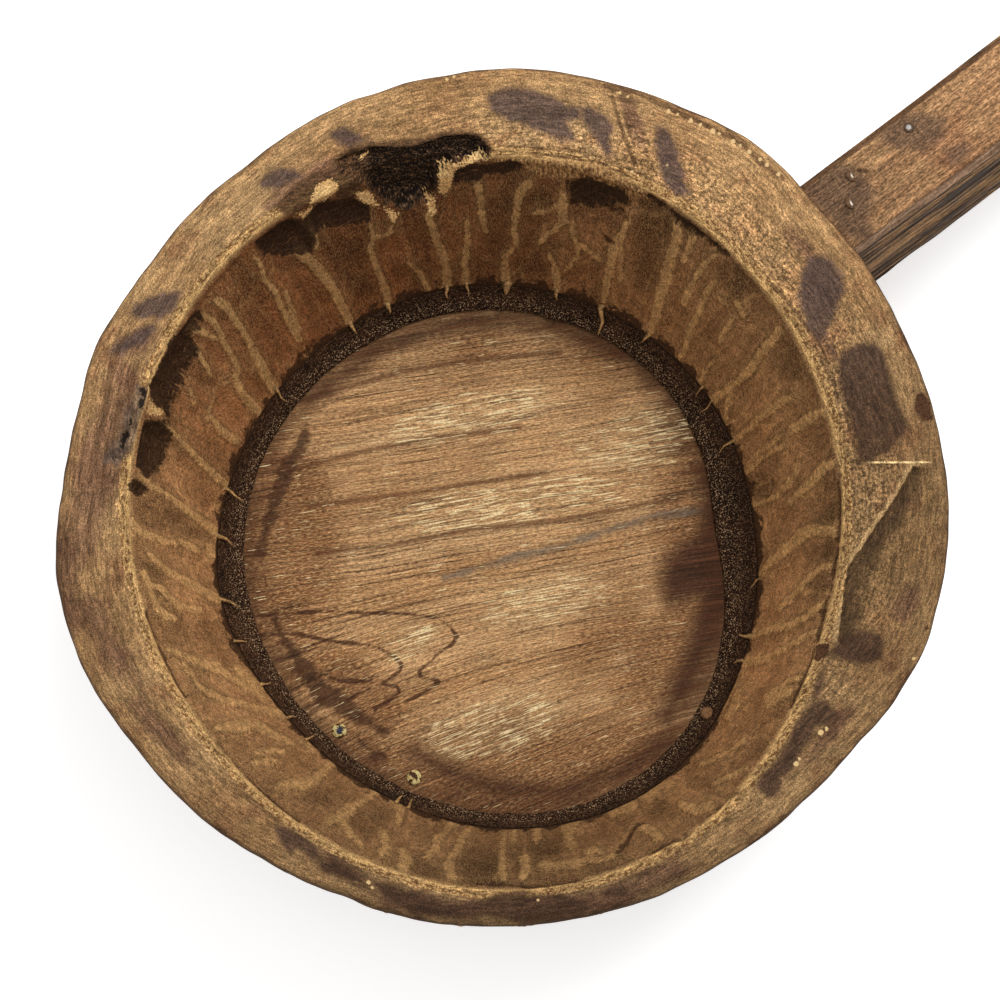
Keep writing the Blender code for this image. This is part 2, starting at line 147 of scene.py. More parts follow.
# Pale ridges between gouge cuts down the inner wall: half widths at the start and at the end, and points
RIDGES = (
    # Far wall, from its left end
    (1.5, 2.5, ((256, 257), (262, 268), (265, 280), (274, 290), (281, 305), (286, 316), (293, 330), (300, 340))),
    (2.0, 3.0, ((285, 292), (291, 306), (294, 318), (298, 330))),
    (1.2, 1.5, ((312, 221), (316, 238), (317, 249))),
    (1.0, 1.2, ((303, 225), (308, 231), (314, 238))),
    (5.0, 3.6, ((301, 254), (312, 262), (322, 274), (330, 284), (338, 298), (345, 312), (352, 327))),
    (1.4, 3.6, ((371, 225), (373, 236), (370, 250), (374, 262), (381, 278), (386, 292), (389, 309))),
    (1.6, 1.6, ((373, 237), (383, 237), (391, 230), (393, 221))),
    (1.2, 2.6, ((408, 262), (417, 270), (423, 279), (429, 291))),
    (3.2, 4.0, ((429, 217), (434, 232), (438, 246), (444, 258), (447, 272), (447, 289))),
    (2.0, 3.4, ((467, 222), (468, 236), (467, 248), (465, 262), (466, 276), (467, 289))),
    (3.2, 2.0, ((477, 184), (481, 200), (482, 216), (486, 231))),
    (4.5, 1.6, ((527, 185), (519, 196), (517, 208), (515, 220), (514, 234), (517, 247))),
    (1.8, 4.8, ((513, 249), (505, 258), (504, 268), (506, 281), (506, 298))),
    (3.0, 5.0, ((562, 196), (562, 208), (563, 222))),
    (2.4, 1.2, ((561, 224), (552, 232), (545, 238), (537, 245))),
    (1.2, 1.2, ((534, 215), (549, 212), (556, 206))),
    (1.5, 3.2, ((549, 255), (554, 264), (556, 277), (557, 291))),
    (2.0, 1.2, ((572, 222), (573, 236), (578, 245), (578, 256), (572, 264), (565, 270))),
    (1.2, 1.2, ((580, 245), (592, 254), (600, 261))),
    (2.0, 4.0, ((629, 221), (622, 234), (616, 244), (612, 254))),
    (4.0, 2.4, ((612, 254), (610, 268), (606, 286), (604, 300))),
    (1.2, 1.2, ((621, 242), (621, 262), (620, 282))),
    # Right wall, from its far end
    (4.0, 5.2, ((678, 222), (676, 238), (674, 250), (668, 268))),
    (5.2, 3.0, ((668, 268), (664, 284), (659, 302), (654, 319), (645, 342))),
    (3.0, 1.5, ((692, 238), (688, 250), (683, 262))),
    (1.5, 3.0, ((713, 256), (706, 262), (698, 274), (690, 288), (684, 301))),
    (2.0, 2.4, ((714, 282), (706, 292), (702, 304), (696, 318), (690, 330), (686, 343), (681, 357))),
    (2.4, 1.2, ((731, 322), (724, 330), (719, 343))),
    (1.2, 1.2, ((715, 297), (726, 305))),
    (1.2, 1.2, ((735, 302), (744, 316))),
    (1.4, 1.4, ((712, 361), (706, 370), (701, 380), (697, 392))),
    (3.6, 2.6, ((779, 331), (767, 345), (756, 361), (746, 373), (734, 384), (722, 394))),
    (2.6, 4.6, ((726, 390), (718, 397), (711, 402))),
    (1.6, 1.6, ((729, 396), (727, 410), (724, 421))),
    (3.2, 1.6, ((788, 398), (778, 404), (768, 412), (757, 420), (747, 430), (732, 441))),
    (3.0, 4.8, ((824, 412), (812, 416), (802, 424), (792, 430))),
    (1.6, 1.2, ((780, 436), (768, 446), (757, 454), (748, 464))),
    (1.2, 1.2, ((782, 445), (770, 452), (758, 462), (747, 471))),
    (2.0, 1.3, ((796, 463), (793, 476), (786, 486), (776, 496), (763, 502), (754, 504))),
    (4.4, 2.0, ((829, 464), (818, 474), (806, 486), (798, 494), (789, 503))),
    (4.0, 5.2, ((834, 532), (822, 530), (812, 529), (803, 534))),
    (5.2, 2.0, ((803, 534), (792, 544), (780, 554), (770, 562), (761, 573))),
    (2.2, 1.2, ((830, 565), (820, 568), (808, 578), (798, 590), (788, 600), (777, 609))),
    (2.4, 3.0, ((822, 604), (812, 612), (798, 620), (786, 626), (770, 630), (755, 634), (747, 636))),
    (2.0, 1.4, ((818, 630), (808, 634), (798, 640), (784, 648), (768, 657))),
    (2.0, 4.6, ((766, 657), (757, 660), (745, 662))),
    (1.6, 1.4, ((800, 676), (790, 680), (778, 688), (767, 697))),
    (3.8, 3.0, ((789, 690), (778, 697), (768, 704))),
    (2.6, 2.2, ((738, 692), (735, 704), (727, 717))),
    (1.6, 2.0, ((735, 672), (730, 688), (722, 706))),
    (1.2, 1.2, ((743, 740), (728, 752), (712, 760), (699, 763))),
    (1.6, 1.4, ((746, 768), (730, 775), (714, 783))),
    # Near wall, from its right end
    (3.0, 4.0, ((681, 804), (694, 809), (709, 805))),
    (3.6, 2.6, ((641, 795), (650, 796), (656, 788), (670, 783))),
    (4.0, 4.4, ((612, 812), (622, 808), (632, 804))),
    (2.0, 4.2, ((637, 826), (648, 829), (657, 835))),
    (1.5, 1.5, ((586, 851), (594, 848), (602, 853))),
    (1.6, 1.6, ((584, 859), (600, 858), (615, 855))),
    (5.0, 3.0, ((573, 821), (567, 832), (570, 845))),
    (3.0, 3.4, ((541, 866), (560, 864), (577, 862))),
    (4.0, 3.0, ((537, 824), (536, 837))),
    (4.2, 3.0, ((524, 858), (526, 866), (523, 875))),
    (3.0, 2.0, ((515, 827), (512, 841))),
    (1.6, 2.6, ((505, 834), (502, 850), (502, 862), (503, 875))),
    (2.0, 2.4, ((471, 828), (463, 836), (460, 846))),
    (2.4, 4.4, ((460, 846), (453, 855), (448, 864), (451, 875))),
    (2.4, 1.8, ((453, 821), (446, 830), (440, 837))),
    (2.4, 2.4, ((437, 838), (436, 848), (428, 855))),
    (3.4, 4.8, ((402, 852), (407, 859), (403, 867))),
    (3.0, 4.2, ((384, 833), (387, 844), (384, 852))),
    (3.2, 2.0, ((397, 803), (402, 811), (399, 821))),
    # Left wall, from its near end
    (2.6, 2.0, ((378, 789), (370, 796), (362, 801), (353, 806))),
    (2.6, 5.0, ((330, 821), (341, 815), (350, 809))),
    (2.6, 1.5, ((343, 818), (347, 826), (354, 836), (362, 846))),
    (2.6, 5.2, ((279, 786), (290, 783), (303, 784))),
    (5.2, 2.0, ((303, 784), (314, 779), (322, 772), (331, 764))),
    (1.6, 1.4, ((257, 752), (270, 750), (283, 752))),
    (2.0, 1.4, ((255, 762), (266, 760), (275, 761))),
    (2.2, 2.2, ((304, 740), (313, 750))),
    (2.0, 5.0, ((218, 728), (228, 726), (240, 725))),
    (5.0, 1.2, ((240, 725), (256, 724), (268, 730), (280, 736), (292, 743))),
    (1.6, 2.6, ((198, 685), (210, 692), (222, 698), (236, 702), (250, 706), (265, 710), (280, 713), (291, 717))),
    (1.4, 4.0, ((185, 655), (196, 660), (206, 665), (217, 667))),
    (2.4, 1.6, ((217, 667), (230, 676), (243, 684), (255, 692), (268, 701))),
    (1.6, 1.4, ((185, 664), (192, 672), (197, 681))),
    (1.3, 1.3, ((169, 649), (179, 652), (189, 660))),
    (3.0, 3.0, ((238, 668), (247, 677), (260, 688))),
    (2.2, 3.0, ((144, 572), (149, 588), (155, 602), (162, 612), (173, 618))),
    (1.5, 2.6, ((152, 585), (161, 588), (171, 598), (179, 606), (190, 608), (200, 610))),
    (1.5, 3.2, ((157, 561), (168, 570), (178, 576), (188, 582), (198, 587))),
    (2.4, 4.2, ((198, 588), (206, 592), (214, 597), (224, 600))),
    (3.0, 1.6, ((131, 520), (138, 530), (150, 536), (163, 540), (176, 544))),
    (1.8, 2.0, ((180, 541), (190, 546), (198, 550))),
    (1.4, 1.4, ((150, 555), (160, 563))),
    (2.2, 2.0, ((209, 545), (213, 556))),
    (2.0, 2.2, ((143, 477), (155, 488), (168, 496), (182, 506), (196, 516))),
    (2.2, 4.4, ((196, 516), (210, 527), (222, 537))),
    (1.2, 2.6, ((164, 424), (175, 434), (186, 446), (198, 458), (210, 470))),
    (2.6, 3.6, ((210, 470), (222, 481), (232, 491))),
    (1.6, 3.8, ((213, 418), (219, 427), (227, 435), (237, 441))),
    (1.2, 1.2, ((214, 398), (211, 408), (207, 420))),
    (2.0, 1.3, ((198, 352), (204, 362), (212, 377))),
    (1.2, 1.2, ((190, 389), (195, 403))),
    (3.0, 1.4, ((197, 330), (206, 333), (216, 339))),
    (2.8, 1.6, ((206, 317), (213, 321), (220, 332), (226, 345), (233, 357), (238, 368))),
    (1.6, 4.2, ((238, 368), (237, 378), (240, 390), (248, 400), (257, 411))),
    (1.2, 1.2, ((225, 385), (235, 378))),
    (4.0, 2.4, ((219, 301), (228, 309), (236, 320), (244, 333))),
    (2.4, 5.0, ((244, 333), (251, 345), (258, 360), (266, 375), (277, 392))),
)
RIDGE_REACH = 15.0
RIDGE_POWER = 1.6
RIDGE_COLOUR = (194, 152, 99)
GOUGE_DEPTH = 1.5 * MM

# Darker hollows of single gouge cuts on the inner wall
HOLLOWS = (
    ((146, 562), (160, 567), (169, 580), (160, 582), (151, 577)),
    ((152, 588), (165, 591), (177, 604), (183, 617), (170, 611), (158, 601)),
    ((142, 497), (170, 505), (200, 525), (214, 540), (190, 540), (150, 530), (137, 512)),
    ((240, 262), (258, 275), (270, 300), (262, 312), (246, 290)),
    ((320, 240), (365, 240), (366, 265), (376, 290), (362, 300), (340, 280)),
    ((484, 200), (512, 200), (510, 250), (500, 270), (484, 250)),
    ((530, 195), (548, 193), (556, 205), (548, 212), (532, 213)),
    ((540, 244), (556, 238), (567, 250), (548, 257)),
    ((510, 262), (542, 258), (546, 278), (512, 280)),
    ((640, 204), (662, 206), (672, 222), (664, 262), (650, 300), (632, 290), (634, 240)),
    ((718, 264), (736, 266), (750, 284), (738, 300), (716, 284)),
    ((770, 356), (784, 340), (801, 352), (812, 385), (790, 380), (766, 372)),
    ((800, 549), (832, 539), (832, 562), (810, 562)),
    ((804, 580), (825, 571), (828, 590), (810, 604)),
    ((806, 520), (834, 502), (834, 527), (808, 526)),
    ((742, 476), (760, 470), (769, 488), (764, 500), (750, 498)),
    ((455, 862), (469, 844), (499, 842), (500, 878), (468, 879)),
    ((404, 862), (420, 851), (440, 858), (444, 877), (420, 877)),
    ((352, 816), (360, 806), (380, 801), (394, 814), (378, 832), (360, 836)),
    ((502, 842), (520, 842), (521, 858), (503, 858)),
    ((531, 840), (556, 842), (562, 857), (532, 857)),
    ((300, 792), (330, 784), (350, 796), (340, 806), (312, 808)),
    ((640, 806), (664, 800), (672, 812), (652, 820)),
)

# Thin dark splits where the wall meets the mouth's edge and at some cuts: half width and points
SEAMS = (
    (2.0, ((649, 198), (660, 205), (672, 213), (690, 228), (700, 236), (712, 246), (722, 256), (729, 259))),
    (1.9, ((838, 466), (838, 490), (838, 520), (834, 556), (828, 585), (821, 615), (815, 640))),
    (1.8, ((812, 650), (806, 668), (796, 690), (788, 706))),
    (1.8, ((738, 790), (715, 810), (697, 826), (680, 838), (655, 848), (628, 857))),
    (2.2, ((478, 880), (500, 882), (530, 884), (556, 882), (580, 879))),
    (2.4, ((640, 822), (632, 828), (624, 838), (616, 850))),
    (1.6, ((222, 742), (240, 764), (256, 782), (270, 796), (285, 808), (300, 820))),
    (1.6, ((148, 612), (158, 640), (172, 672), (188, 696))),
    (1.4, ((604, 240), (613, 243))),
    (1.3, ((610, 213), (620, 214), (628, 220))),
    (1.3, ((768, 482), (770, 490), (766, 498))),
)
SEAM_DEPTH = 1.0 * MM

# Torn straw along the far mouth's edge
FRINGE = (
    ((486, 158), (520, 159), (560, 159), (600, 164), (640, 184), (648, 202), (622, 197), (600, 189), (584, 183),
     (560, 181), (542, 180), (522, 166), (500, 166)),
)

# Splinters at the wall's foot: half width at the root, root and tip
SPLINTERS = (
    (1.4, (352, 327), (357, 334)), (1.6, (389, 309), (391, 315)), (1.4, (447, 289), (447, 297)),
    (0.9, (467, 290), (469, 299)), (3.2, (506, 297), (505, 305)), (1.4, (557, 291), (558, 297)),
    (2.0, (604, 301), (602, 325)), (1.6, (641, 345), (636, 350)), (0.8, (697, 392), (692, 399)),
    (0.9, (710, 403), (700, 412)), (1.2, (732, 442), (720, 452)), (0.8, (757, 580), (751, 588)),
    (1.8, (748, 636), (738, 634)), (1.4, (744, 662), (736, 664)), (1.5, (224, 600), (240, 607)),
    (1.0, (238, 641), (248, 641)), (1.2, (260, 686), (268, 684)), (1.2, (290, 717), (297, 716)),
    (1.0, (311, 736), (317, 732)), (1.2, (232, 491), (246, 501)), (1.6, (222, 537), (235, 545)),
    (1.0, (278, 392), (286, 401)), (1.4, (397, 803), (402, 797)), (1.2, (411, 801), (414, 794)),
)

# Rings of one splinter, as shares of its length and width, and corners of a ring, across and up in millimetres
SPLINTER_RINGS = ((-0.8, 2.4), (0.0, 1.7), (0.5, 1.0), (1.0, 0.45))
SPLINTER_SIDES = ((1, 0), (0, 0.5), (-1, 0), (0, -0.4))

# How far a splinter stands off the wall, and how much it bows and drops on its way
SPLINTER_INSET = 0.3 * MM
SPLINTER_BOW = 0.16
SPLINTER_DROP = 0.35

# Torn wood under the mouth, painted nearly black as the shade in its recess: its depth into the wall and how far its
# fibres and the straw stand out
TORN = (
    ((204, 309), (193, 317), (173, 340), (161, 363), (150, 386), (150, 397), (164, 406), (170, 423), (176, 403),
     (184, 383), (193, 363), (199, 351), (193, 337), (201, 323)),
    ((147, 423), (164, 420), (173, 434), (170, 451), (161, 474), (147, 477), (139, 466), (141, 446)),
    ((133, 477), (144, 483), (150, 491), (141, 497), (131, 488)),
    ((255, 243), (285, 223), (303, 220), (313, 210), (323, 206), (338, 203), (353, 200), (370, 210), (370, 220),
     (363, 225), (345, 228), (328, 230), (315, 235), (313, 253), (298, 253), (285, 258), (262, 255)),
    ((453, 178), (470, 169), (488, 169), (510, 161), (520, 163), (520, 175), (495, 176), (470, 183), (455, 188)),
    ((567, 187), (585, 181), (606, 187), (622, 193), (628, 206), (609, 209), (591, 209), (573, 206)),
    ((649, 197), (672, 211), (700, 231), (730, 254), (727, 258), (697, 236), (668, 215), (648, 202)),
)
TORN_DEPTH = 2.6 * MM
TORN_FRAY = 0.8 * MM
FRINGE_FRAY = 0.7 * MM

# The charred knot's hollow through the mouth's edge, its depth, how shallow its left end is and up to where,
# and how far out and down it is cut
KNOT = (
    (332, 160), (352, 151), (375, 146), (396, 147), (412, 146), (430, 141), (445, 136), (465, 134), (480, 137),
    (488, 147), (490, 157), (482, 164), (455, 170), (440, 182), (437, 195), (430, 205), (410, 212), (385, 207),
    (362, 185), (338, 173),
)
KNOT_DEPTH = 9 * MM
KNOT_SHALLOW = 0.45
KNOT_SLOPE = (352.0, 385.0)
KNOT_OUT = 0.70
KNOT_DOWN = 0.72

# Pale torn chips round the knot, and dark notches in the mouth's edge and the outer edge
CHIPS = (
    ((310, 205), (316, 185), (332, 178), (338, 185), (336, 197), (322, 205)),
    ((356, 197), (370, 195), (380, 210), (365, 207)),
    ((384, 209), (400, 216), (392, 222), (390, 217)),
    ((440, 175), (457, 172), (450, 192), (445, 200), (439, 195)),
    ((445, 172), (470, 163), (488, 156), (489, 160), (471, 168), (446, 177)),
    ((426, 201), (435, 200), (436, 215), (430, 214)),
    ((361, 163), (371, 156), (372, 160), (362, 166)),
    ((296, 213), (304, 216), (312, 209), (318, 209), (305, 221)),
    ((150, 398), (154, 401), (157, 408), (168, 413), (160, 416), (149, 414)),
)
CHIP_DEPTH = 1.2 * MM
NOTCHES = (
    ((817, 644), (830, 643), (829, 654), (819, 662), (812, 659)),
    ((914, 396), (921, 391), (930, 402), (932, 420), (922, 421), (915, 410)),
    ((920, 625), (924, 624), (925, 629), (921, 630)),
    ((840, 674), (844, 673), (845, 678), (841, 679)),
)
NOTCH_DEPTH = 2.0 * MM

# Black cracks on the rim as lines with half widths, the grey rotten ground round them and their depth
CRACKS = (
    (2.6, ((144, 389), (146, 397), (142, 405))), (0.2, ((142, 405), (136, 412), (133, 418))),
    (1.6, ((131, 420), (129, 428))), (3.0, ((126, 432), (123, 440))), (1.2, ((123, 440), (121, 451))),
    (0.4, ((104, 455), (112, 457), (120, 456))),
)
ROTTEN = (
    ((138, 386), (150, 388), (151, 402), (143, 420), (137, 442), (130, 456), (118, 463), (102, 461), (104, 449),
     (116, 444), (121, 430), (127, 410)),
)
CRACK_DEPTH = 2.6 * MM

# Brown frayed wood on the rim, beside and above the knot
FRAYED = (
    ((276, 206), (284, 196), (300, 182), (320, 172), (338, 166), (356, 172), (362, 190), (356, 200), (340, 203),
     (338, 182), (318, 184), (308, 204), (296, 214), (284, 212)),
    ((336, 157), (350, 149), (372, 143), (400, 141), (430, 137), (450, 131), (470, 131), (485, 137), (490, 147),
     (478, 142), (450, 140), (430, 147), (408, 154), (384, 151), (360, 151), (344, 158)),
)

# Thin dark lines on the rim with half widths, and cream warts with their radii
SCORES = (
    (1.0, ((772, 284), (786, 298), (800, 316), (812, 332), (822, 348), (830, 368), (838, 394), (842, 404))),
    (1.0, ((844, 408), (850, 426), (856, 446), (858, 464))),
    (1.2, ((612, 96), (621, 127), (635, 164))), (0.8, ((624, 114), (634, 145))),
    (0.8, ((488, 150), (520, 154), (560, 156), (600, 162), (640, 182))),
    (0.8, ((500, 144), (540, 147), (580, 150), (612, 158))),
    (2.0, ((604, 86), (634, 92), (665, 106), (695, 122), (726, 141), (757, 163), (780, 181))),
    (1.6, ((725, 133), (738, 145), (752, 162), (764, 172))),
)
WARTS = (
    (822, 733, 3.0), (828, 729, 2.2), (797, 764, 2.8), (800, 759, 1.6), (668, 112, 2.2), (677, 115, 1.6),
    (690, 122, 2.4), (699, 127, 1.8), (711, 134, 2.6), (717, 137, 1.8), (730, 146, 2.4), (737, 150, 1.6),
    (746, 156, 2.4), (757, 163, 2.0), (764, 168, 2.2), (776, 177, 2.2), (447, 80, 1.8), (454, 78, 1.6),
    (620, 93, 1.6), (628, 97, 1.4), (330, 826, 1.6), (368, 883, 2.2), (372, 888, 1.6), (538, 900, 1.6),
    (911, 657, 1.6), (667, 165, 1.2), (632, 171, 1.6),
)

# Creases on the rim: line, half width and depth. One scratch: its two ends and its level
CREASES = (
    (((612, 96), (621, 127), (635, 164)), 2.5, 0.7 * MM),
    (((624, 114), (634, 145)), 2.0, 0.5 * MM),
)
SCRATCH = ((864, 932), 462)

# The dished cut on the rim: its sharp edge, the ground it covers, its reach, its depth and the limit of its shade
DISH_EDGE = ((912, 464), (892, 500), (867, 537), (847, 569), (843, 596), (838, 640))
DISH_ZONE = DISH_EDGE + ((868, 668), (905, 630), (930, 570), (938, 505), (926, 470))
DISH_REACH = 75.0
DISH_DEPTH = 3.4 * MM
DISH_SIDE = 30.0

# How far below the solid's rim the worn one lies
RIM_SUNK = 1.2 * MM

# How far the hewn edge stands out from the solid's: degrees from the handle and millimetres
GROWTH = (
    (0, 0.0), (8, 0.4), (14, 2.4), (28, 1.0), (38, 0.4), (48, 1.6), (66, 1.4), (90, 0.1), (104, 0.4), (121, 1.8),
    (130, 0.5), (143, 1.2), (165, 1.0), (185, -0.3), (245, 0.0), (283, -0.4), (305, 0.6), (328, 1.8), (346, -0.8),
)

# How light the rim is made round the bowl, and how light the inner wall is made round it, which is painted light and
# shade with some of the wood's own tone; how crisp the ridges are and how red the wood is
RIM_TONE = (
    (8, 0.92), (40, 0.88), (60, 0.90), (75, 0.86), (90, 0.84), (120, 0.86), (143, 0.75), (188, 0.70), (215, 0.52),
    (243, 0.46), (258, 0.53), (300, 0.56), (325, 0.51), (345, 0.62),
)
WALL_LIGHT_AND_TONE = (
    (5, 1.60), (30, 1.26), (53, 0.81), (90, 0.96), (118, 1.42), (143, 2.08), (188, 1.62), (215, 1.20),
    (243, 0.93), (265, 1.30), (290, 2.18), (325, 1.84),
)
RIDGE_CRISP = ((20, 1.0), (90, 1.0), (150, 0.85), (190, 0.35), (250, 0.25), (285, 0.6), (325, 0.85))
WALL_RUDDY = ((20, 0.2), (53, 0.8), (90, 1.0), (115, 0.6), (143, 0.0), (220, 0.0), (300, 0.0))

# Browner ground on the rim: x, y, half length, half width, direction in degrees, strength
RIM_BROWN = (
    (100, 470, 120, 24, 105, 0.8), (72, 560, 80, 12, 90, 0.6), (136, 345, 22, 13, -40, 0.7),
    (290, 190, 34, 15, -35, 0.9), (326, 172, 20, 14, -20, 1.0), (110, 640, 60, 16, 62, 0.5),
    (160, 730, 50, 12, 50, 0.7), (345, 872, 40, 12, 30, 0.7), (430, 905, 60, 12, 8, 0.9),
    (560, 905, 60, 14, -4, 0.8), (640, 885, 60, 14, -20, 0.8), (632, 118, 34, 9, 70, 0.8),
    (800, 240, 26, 12, 50, 0.7), (830, 735, 40, 10, -50, 0.6), (905, 600, 24, 12, -70, 0.7),
)

# Dark stains on the rim: how far each one's edge is drawn in and its outline
RIM_STAINS = (
    (0, ((838, 358), (848, 348), (860, 343), (876, 341), (886, 352), (890, 370), (895, 390), (898, 405),
         (907, 420), (907, 432), (896, 441), (888, 452), (872, 461), (859, 463), (856, 445), (850, 425),
         (846, 405), (840, 385))),
    (0, ((802, 270), (810, 257), (822, 253), (834, 260), (842, 275), (846, 290), (838, 305), (834, 318),
         (828, 330), (824, 341), (816, 341), (808, 328), (805, 312), (799, 294))),
    (2, ((820, 336), (836, 344), (842, 358), (834, 360), (826, 350))),
    (0, ((655, 127), (662, 125), (670, 132), (677, 148), (681, 165), (685, 180), (689, 195), (681, 196),
         (671, 191), (663, 180), (658, 160), (655, 140))),
    (0, ((487, 96), (500, 91), (520, 88), (540, 93), (556, 99), (564, 104), (582, 106), (580, 119), (566, 121),
         (571, 132), (574, 139), (560, 139), (544, 131), (524, 125), (504, 120), (491, 110))),
    (1, ((579, 106), (592, 105), (607, 115), (614, 128), (610, 140), (616, 158), (604, 154), (594, 138),
         (583, 124))),
    (1, ((328, 136), (340, 126), (352, 129), (366, 137), (373, 142), (358, 145), (350, 149), (341, 145))),
    (2, ((254, 180), (262, 171), (280, 164), (297, 169), (304, 176), (290, 183), (274, 191), (261, 189))),
    (0, ((131, 314), (138, 305), (150, 297), (162, 293), (179, 291), (181, 298), (172, 309), (162, 317),
         (148, 317), (138, 319))),
    (4, ((110, 352), (124, 337), (142, 325), (157, 316), (162, 330), (150, 343), (136, 353), (116, 362))),
    (0, ((836, 640), (850, 633), (864, 629), (880, 633), (883, 644), (881, 659), (866, 665), (846, 661),
         (832, 657), (827, 667), (831, 650))),
    (0, ((816, 699), (831, 701), (838, 715), (831, 725), (816, 727), (810, 741), (800, 753), (795, 767),
         (783, 779), (781, 791), (770, 797), (755, 786), (762, 774), (778, 760), (786, 746), (794, 728),
         (804, 711))),
    (1, ((820, 668), (826, 670), (822, 690), (814, 702), (808, 704), (814, 688))),
    (1, ((274, 825), (284, 827), (296, 831), (307, 837), (318, 848), (320, 860), (308, 858), (296, 849),
         (290, 858), (283, 849), (277, 838))),
    (2, ((316, 861), (336, 859), (350, 871), (366, 880), (350, 886), (334, 878), (318, 874))),
    (0, ((374, 883), (392, 883), (410, 891), (430, 896), (442, 904), (466, 904), (484, 899), (500, 892),
         (520, 891), (540, 895), (560, 894), (578, 899), (590, 904), (580, 919), (556, 924), (530, 924),
         (500, 920), (474, 914), (452, 917), (430, 916), (412, 913), (396, 905), (383, 897))),
    (3, ((596, 890), (616, 884), (634, 884), (630, 896), (606, 902))),
    (2, ((914, 394), (921, 389), (930, 400), (934, 420), (924, 424), (914, 412))),
)

# How coarse the grain is beside the mouth: degrees from the handle and share
RIM_COARSE = ((0, 0.9), (30, 1.0), (60, 0.5), (90, 0.15), (180, 0.15), (250, 0.3), (290, 0.6), (325, 1.0))

# Board: direction of its grain, slopes of its growth lines in the photograph above and below their turn, and
# another grain for its underside
GRAIN_ANGLE = math.radians(-24)
GRAIN_SLOPE = (0.16, 0.42)
GRAIN_TURN = (560.0, 770.0)
UNDERSIDE_GRAIN = 0.3

# A turned line beside the seal, in shares of the way to it, and its depth
TURNED_LINE = 0.93
TURNED_WIDTH = 0.012
TURNED_DEPTH = 0.5 * MM

# Gap round the board, how far its faces are worn, and the height of their growth lines
BOARD_GAP = 0.4 * MM
TOP_WORN = 0.6 * MM
TOP_RELIEF = 0.36 * MM
UNDERSIDE_WORN = 0.3 * MM
UNDERSIDE_RELIEF = 0.25 * MM

# Pale streaks, as browner ground is given, but in millimetres from the bowl's axis
BOARD_PALE = (
    (31, 52, 40, 9, -25, 0.9), (18, 14, 52, 9, -27, 1.0), (8, -29, 27, 9, -22, 0.9),
    (-41, -57, 30, 12, -22, 1.0), (81, 1, 27, 12, -17, 0.8), (-46, -9, 13, 7, -17, 0.9),
)

# Dark places on the board's right side, stain with the painted shadow of the wall beside it, and scars, as outlines;
# and dark bands along its near and far edges, the far one painted shadow of the far wall, as lines with half widths
BOARD_DARK = (
    ((664, 578), (670, 560), (682, 548), (700, 536), (714, 520), (724, 560), (722, 590), (702, 592), (684, 596),
     (670, 600)),
    ((704, 470), (710, 520), (710, 570), (702, 610), (692, 640), (684, 655), (672, 690), (660, 715), (668, 722),
     (682, 704), (696, 682), (708, 655), (718, 640), (730, 600), (742, 540), (742, 470)),
)
BOARD_SCARS = (
    ((272, 608), (280, 621), (286, 636), (298, 651), (309, 662), (320, 678), (335, 688), (349, 704), (363, 713),
     (378, 724), (389, 731), (383, 734), (366, 725), (351, 719), (335, 710), (320, 702), (309, 691), (301, 678),
     (294, 664), (286, 648), (277, 636), (272, 621)),
    ((351, 734), (360, 738), (375, 750), (383, 756), (375, 759), (366, 751), (357, 744)),
    ((307, 421), (308, 440), (296, 462), (286, 486), (276, 512), (268, 540), (262, 558), (256, 556), (262, 524),
     (272, 492), (284, 462)),
)
BOARD_BANDS = (
    (((415, 752), (450, 772), (490, 786), (560, 792), (620, 772), (668, 738)), 1.0),
    (((310, 400), (385, 345), (470, 322), (560, 325), (640, 362), (690, 410)), -2.0),
)

# Browner ground on the board, as on the rim, and its arched figure, dark growth lines and blue streak
BOARD_BROWN = (
    (286, 555, 110, 62, 90, 1.0), (340, 680, 90, 30, 40, 0.7), (440, 775, 130, 30, 15, 1.0),
    (590, 765, 120, 44, -25, 1.0), (500, 748, 110, 44, 0, 0.8), (632, 620, 90, 50, 80, 0.15),
    (690, 560, 100, 40, 85, 0.9), (470, 345, 150, 40, -8, 0.25), (665, 670, 80, 44, -65, 0.9),
    (690, 450, 60, 26, 60, 0.7), (690, 530, 40, 20, 0, 0.9),
)
FIGURE = (
    ((256, 616), (290, 613), (330, 611), (365, 613), (395, 613), (420, 615), (437, 618), (449, 626), (457, 636),
     (452, 644), (437, 654), (430, 662), (419, 671), (420, 676), (432, 679), (439, 682), (430, 689), (405, 702)),
    ((259, 635), (280, 634), (300, 634), (320, 639), (340, 642), (360, 644), (375, 646), (395, 657), (402, 664),
     (400, 671), (387, 680), (382, 684), (397, 686), (400, 692), (390, 700), (375, 709)),
    ((325, 675), (340, 681), (357, 681), (372, 681)),
    ((349, 700), (357, 694), (370, 689)),
)
GRAIN_LINES = (
    ((315, 553), (394, 545), (473, 529), (557, 521), (609, 511), (678, 498)),
    ((309, 506), (378, 498), (483, 482), (546, 472)),
    ((290, 470), (360, 452), (440, 437), (520, 428)),
    ((300, 400), (400, 372), (470, 360), (560, 352)),
)
BLUE_STREAK = ((446, 577), (515, 556), (557, 548), (588, 536), (657, 516), (720, 508))

# Dark stains on the handle's top
HANDLE_DARK = (
    ((800, 185), (835, 158), (862, 165), (878, 190), (870, 215), (884, 240), (866, 250), (835, 228)),
    ((872, 127), (900, 112), (925, 108), (948, 118), (945, 135), (925, 152), (900, 152), (880, 142)),
    ((947, 150), (965, 140), (972, 150), (962, 163), (948, 164)),
    ((1030, 60), (1080, 30), (1120, 10), (1140, 40), (1090, 70), (1040, 90)),
)

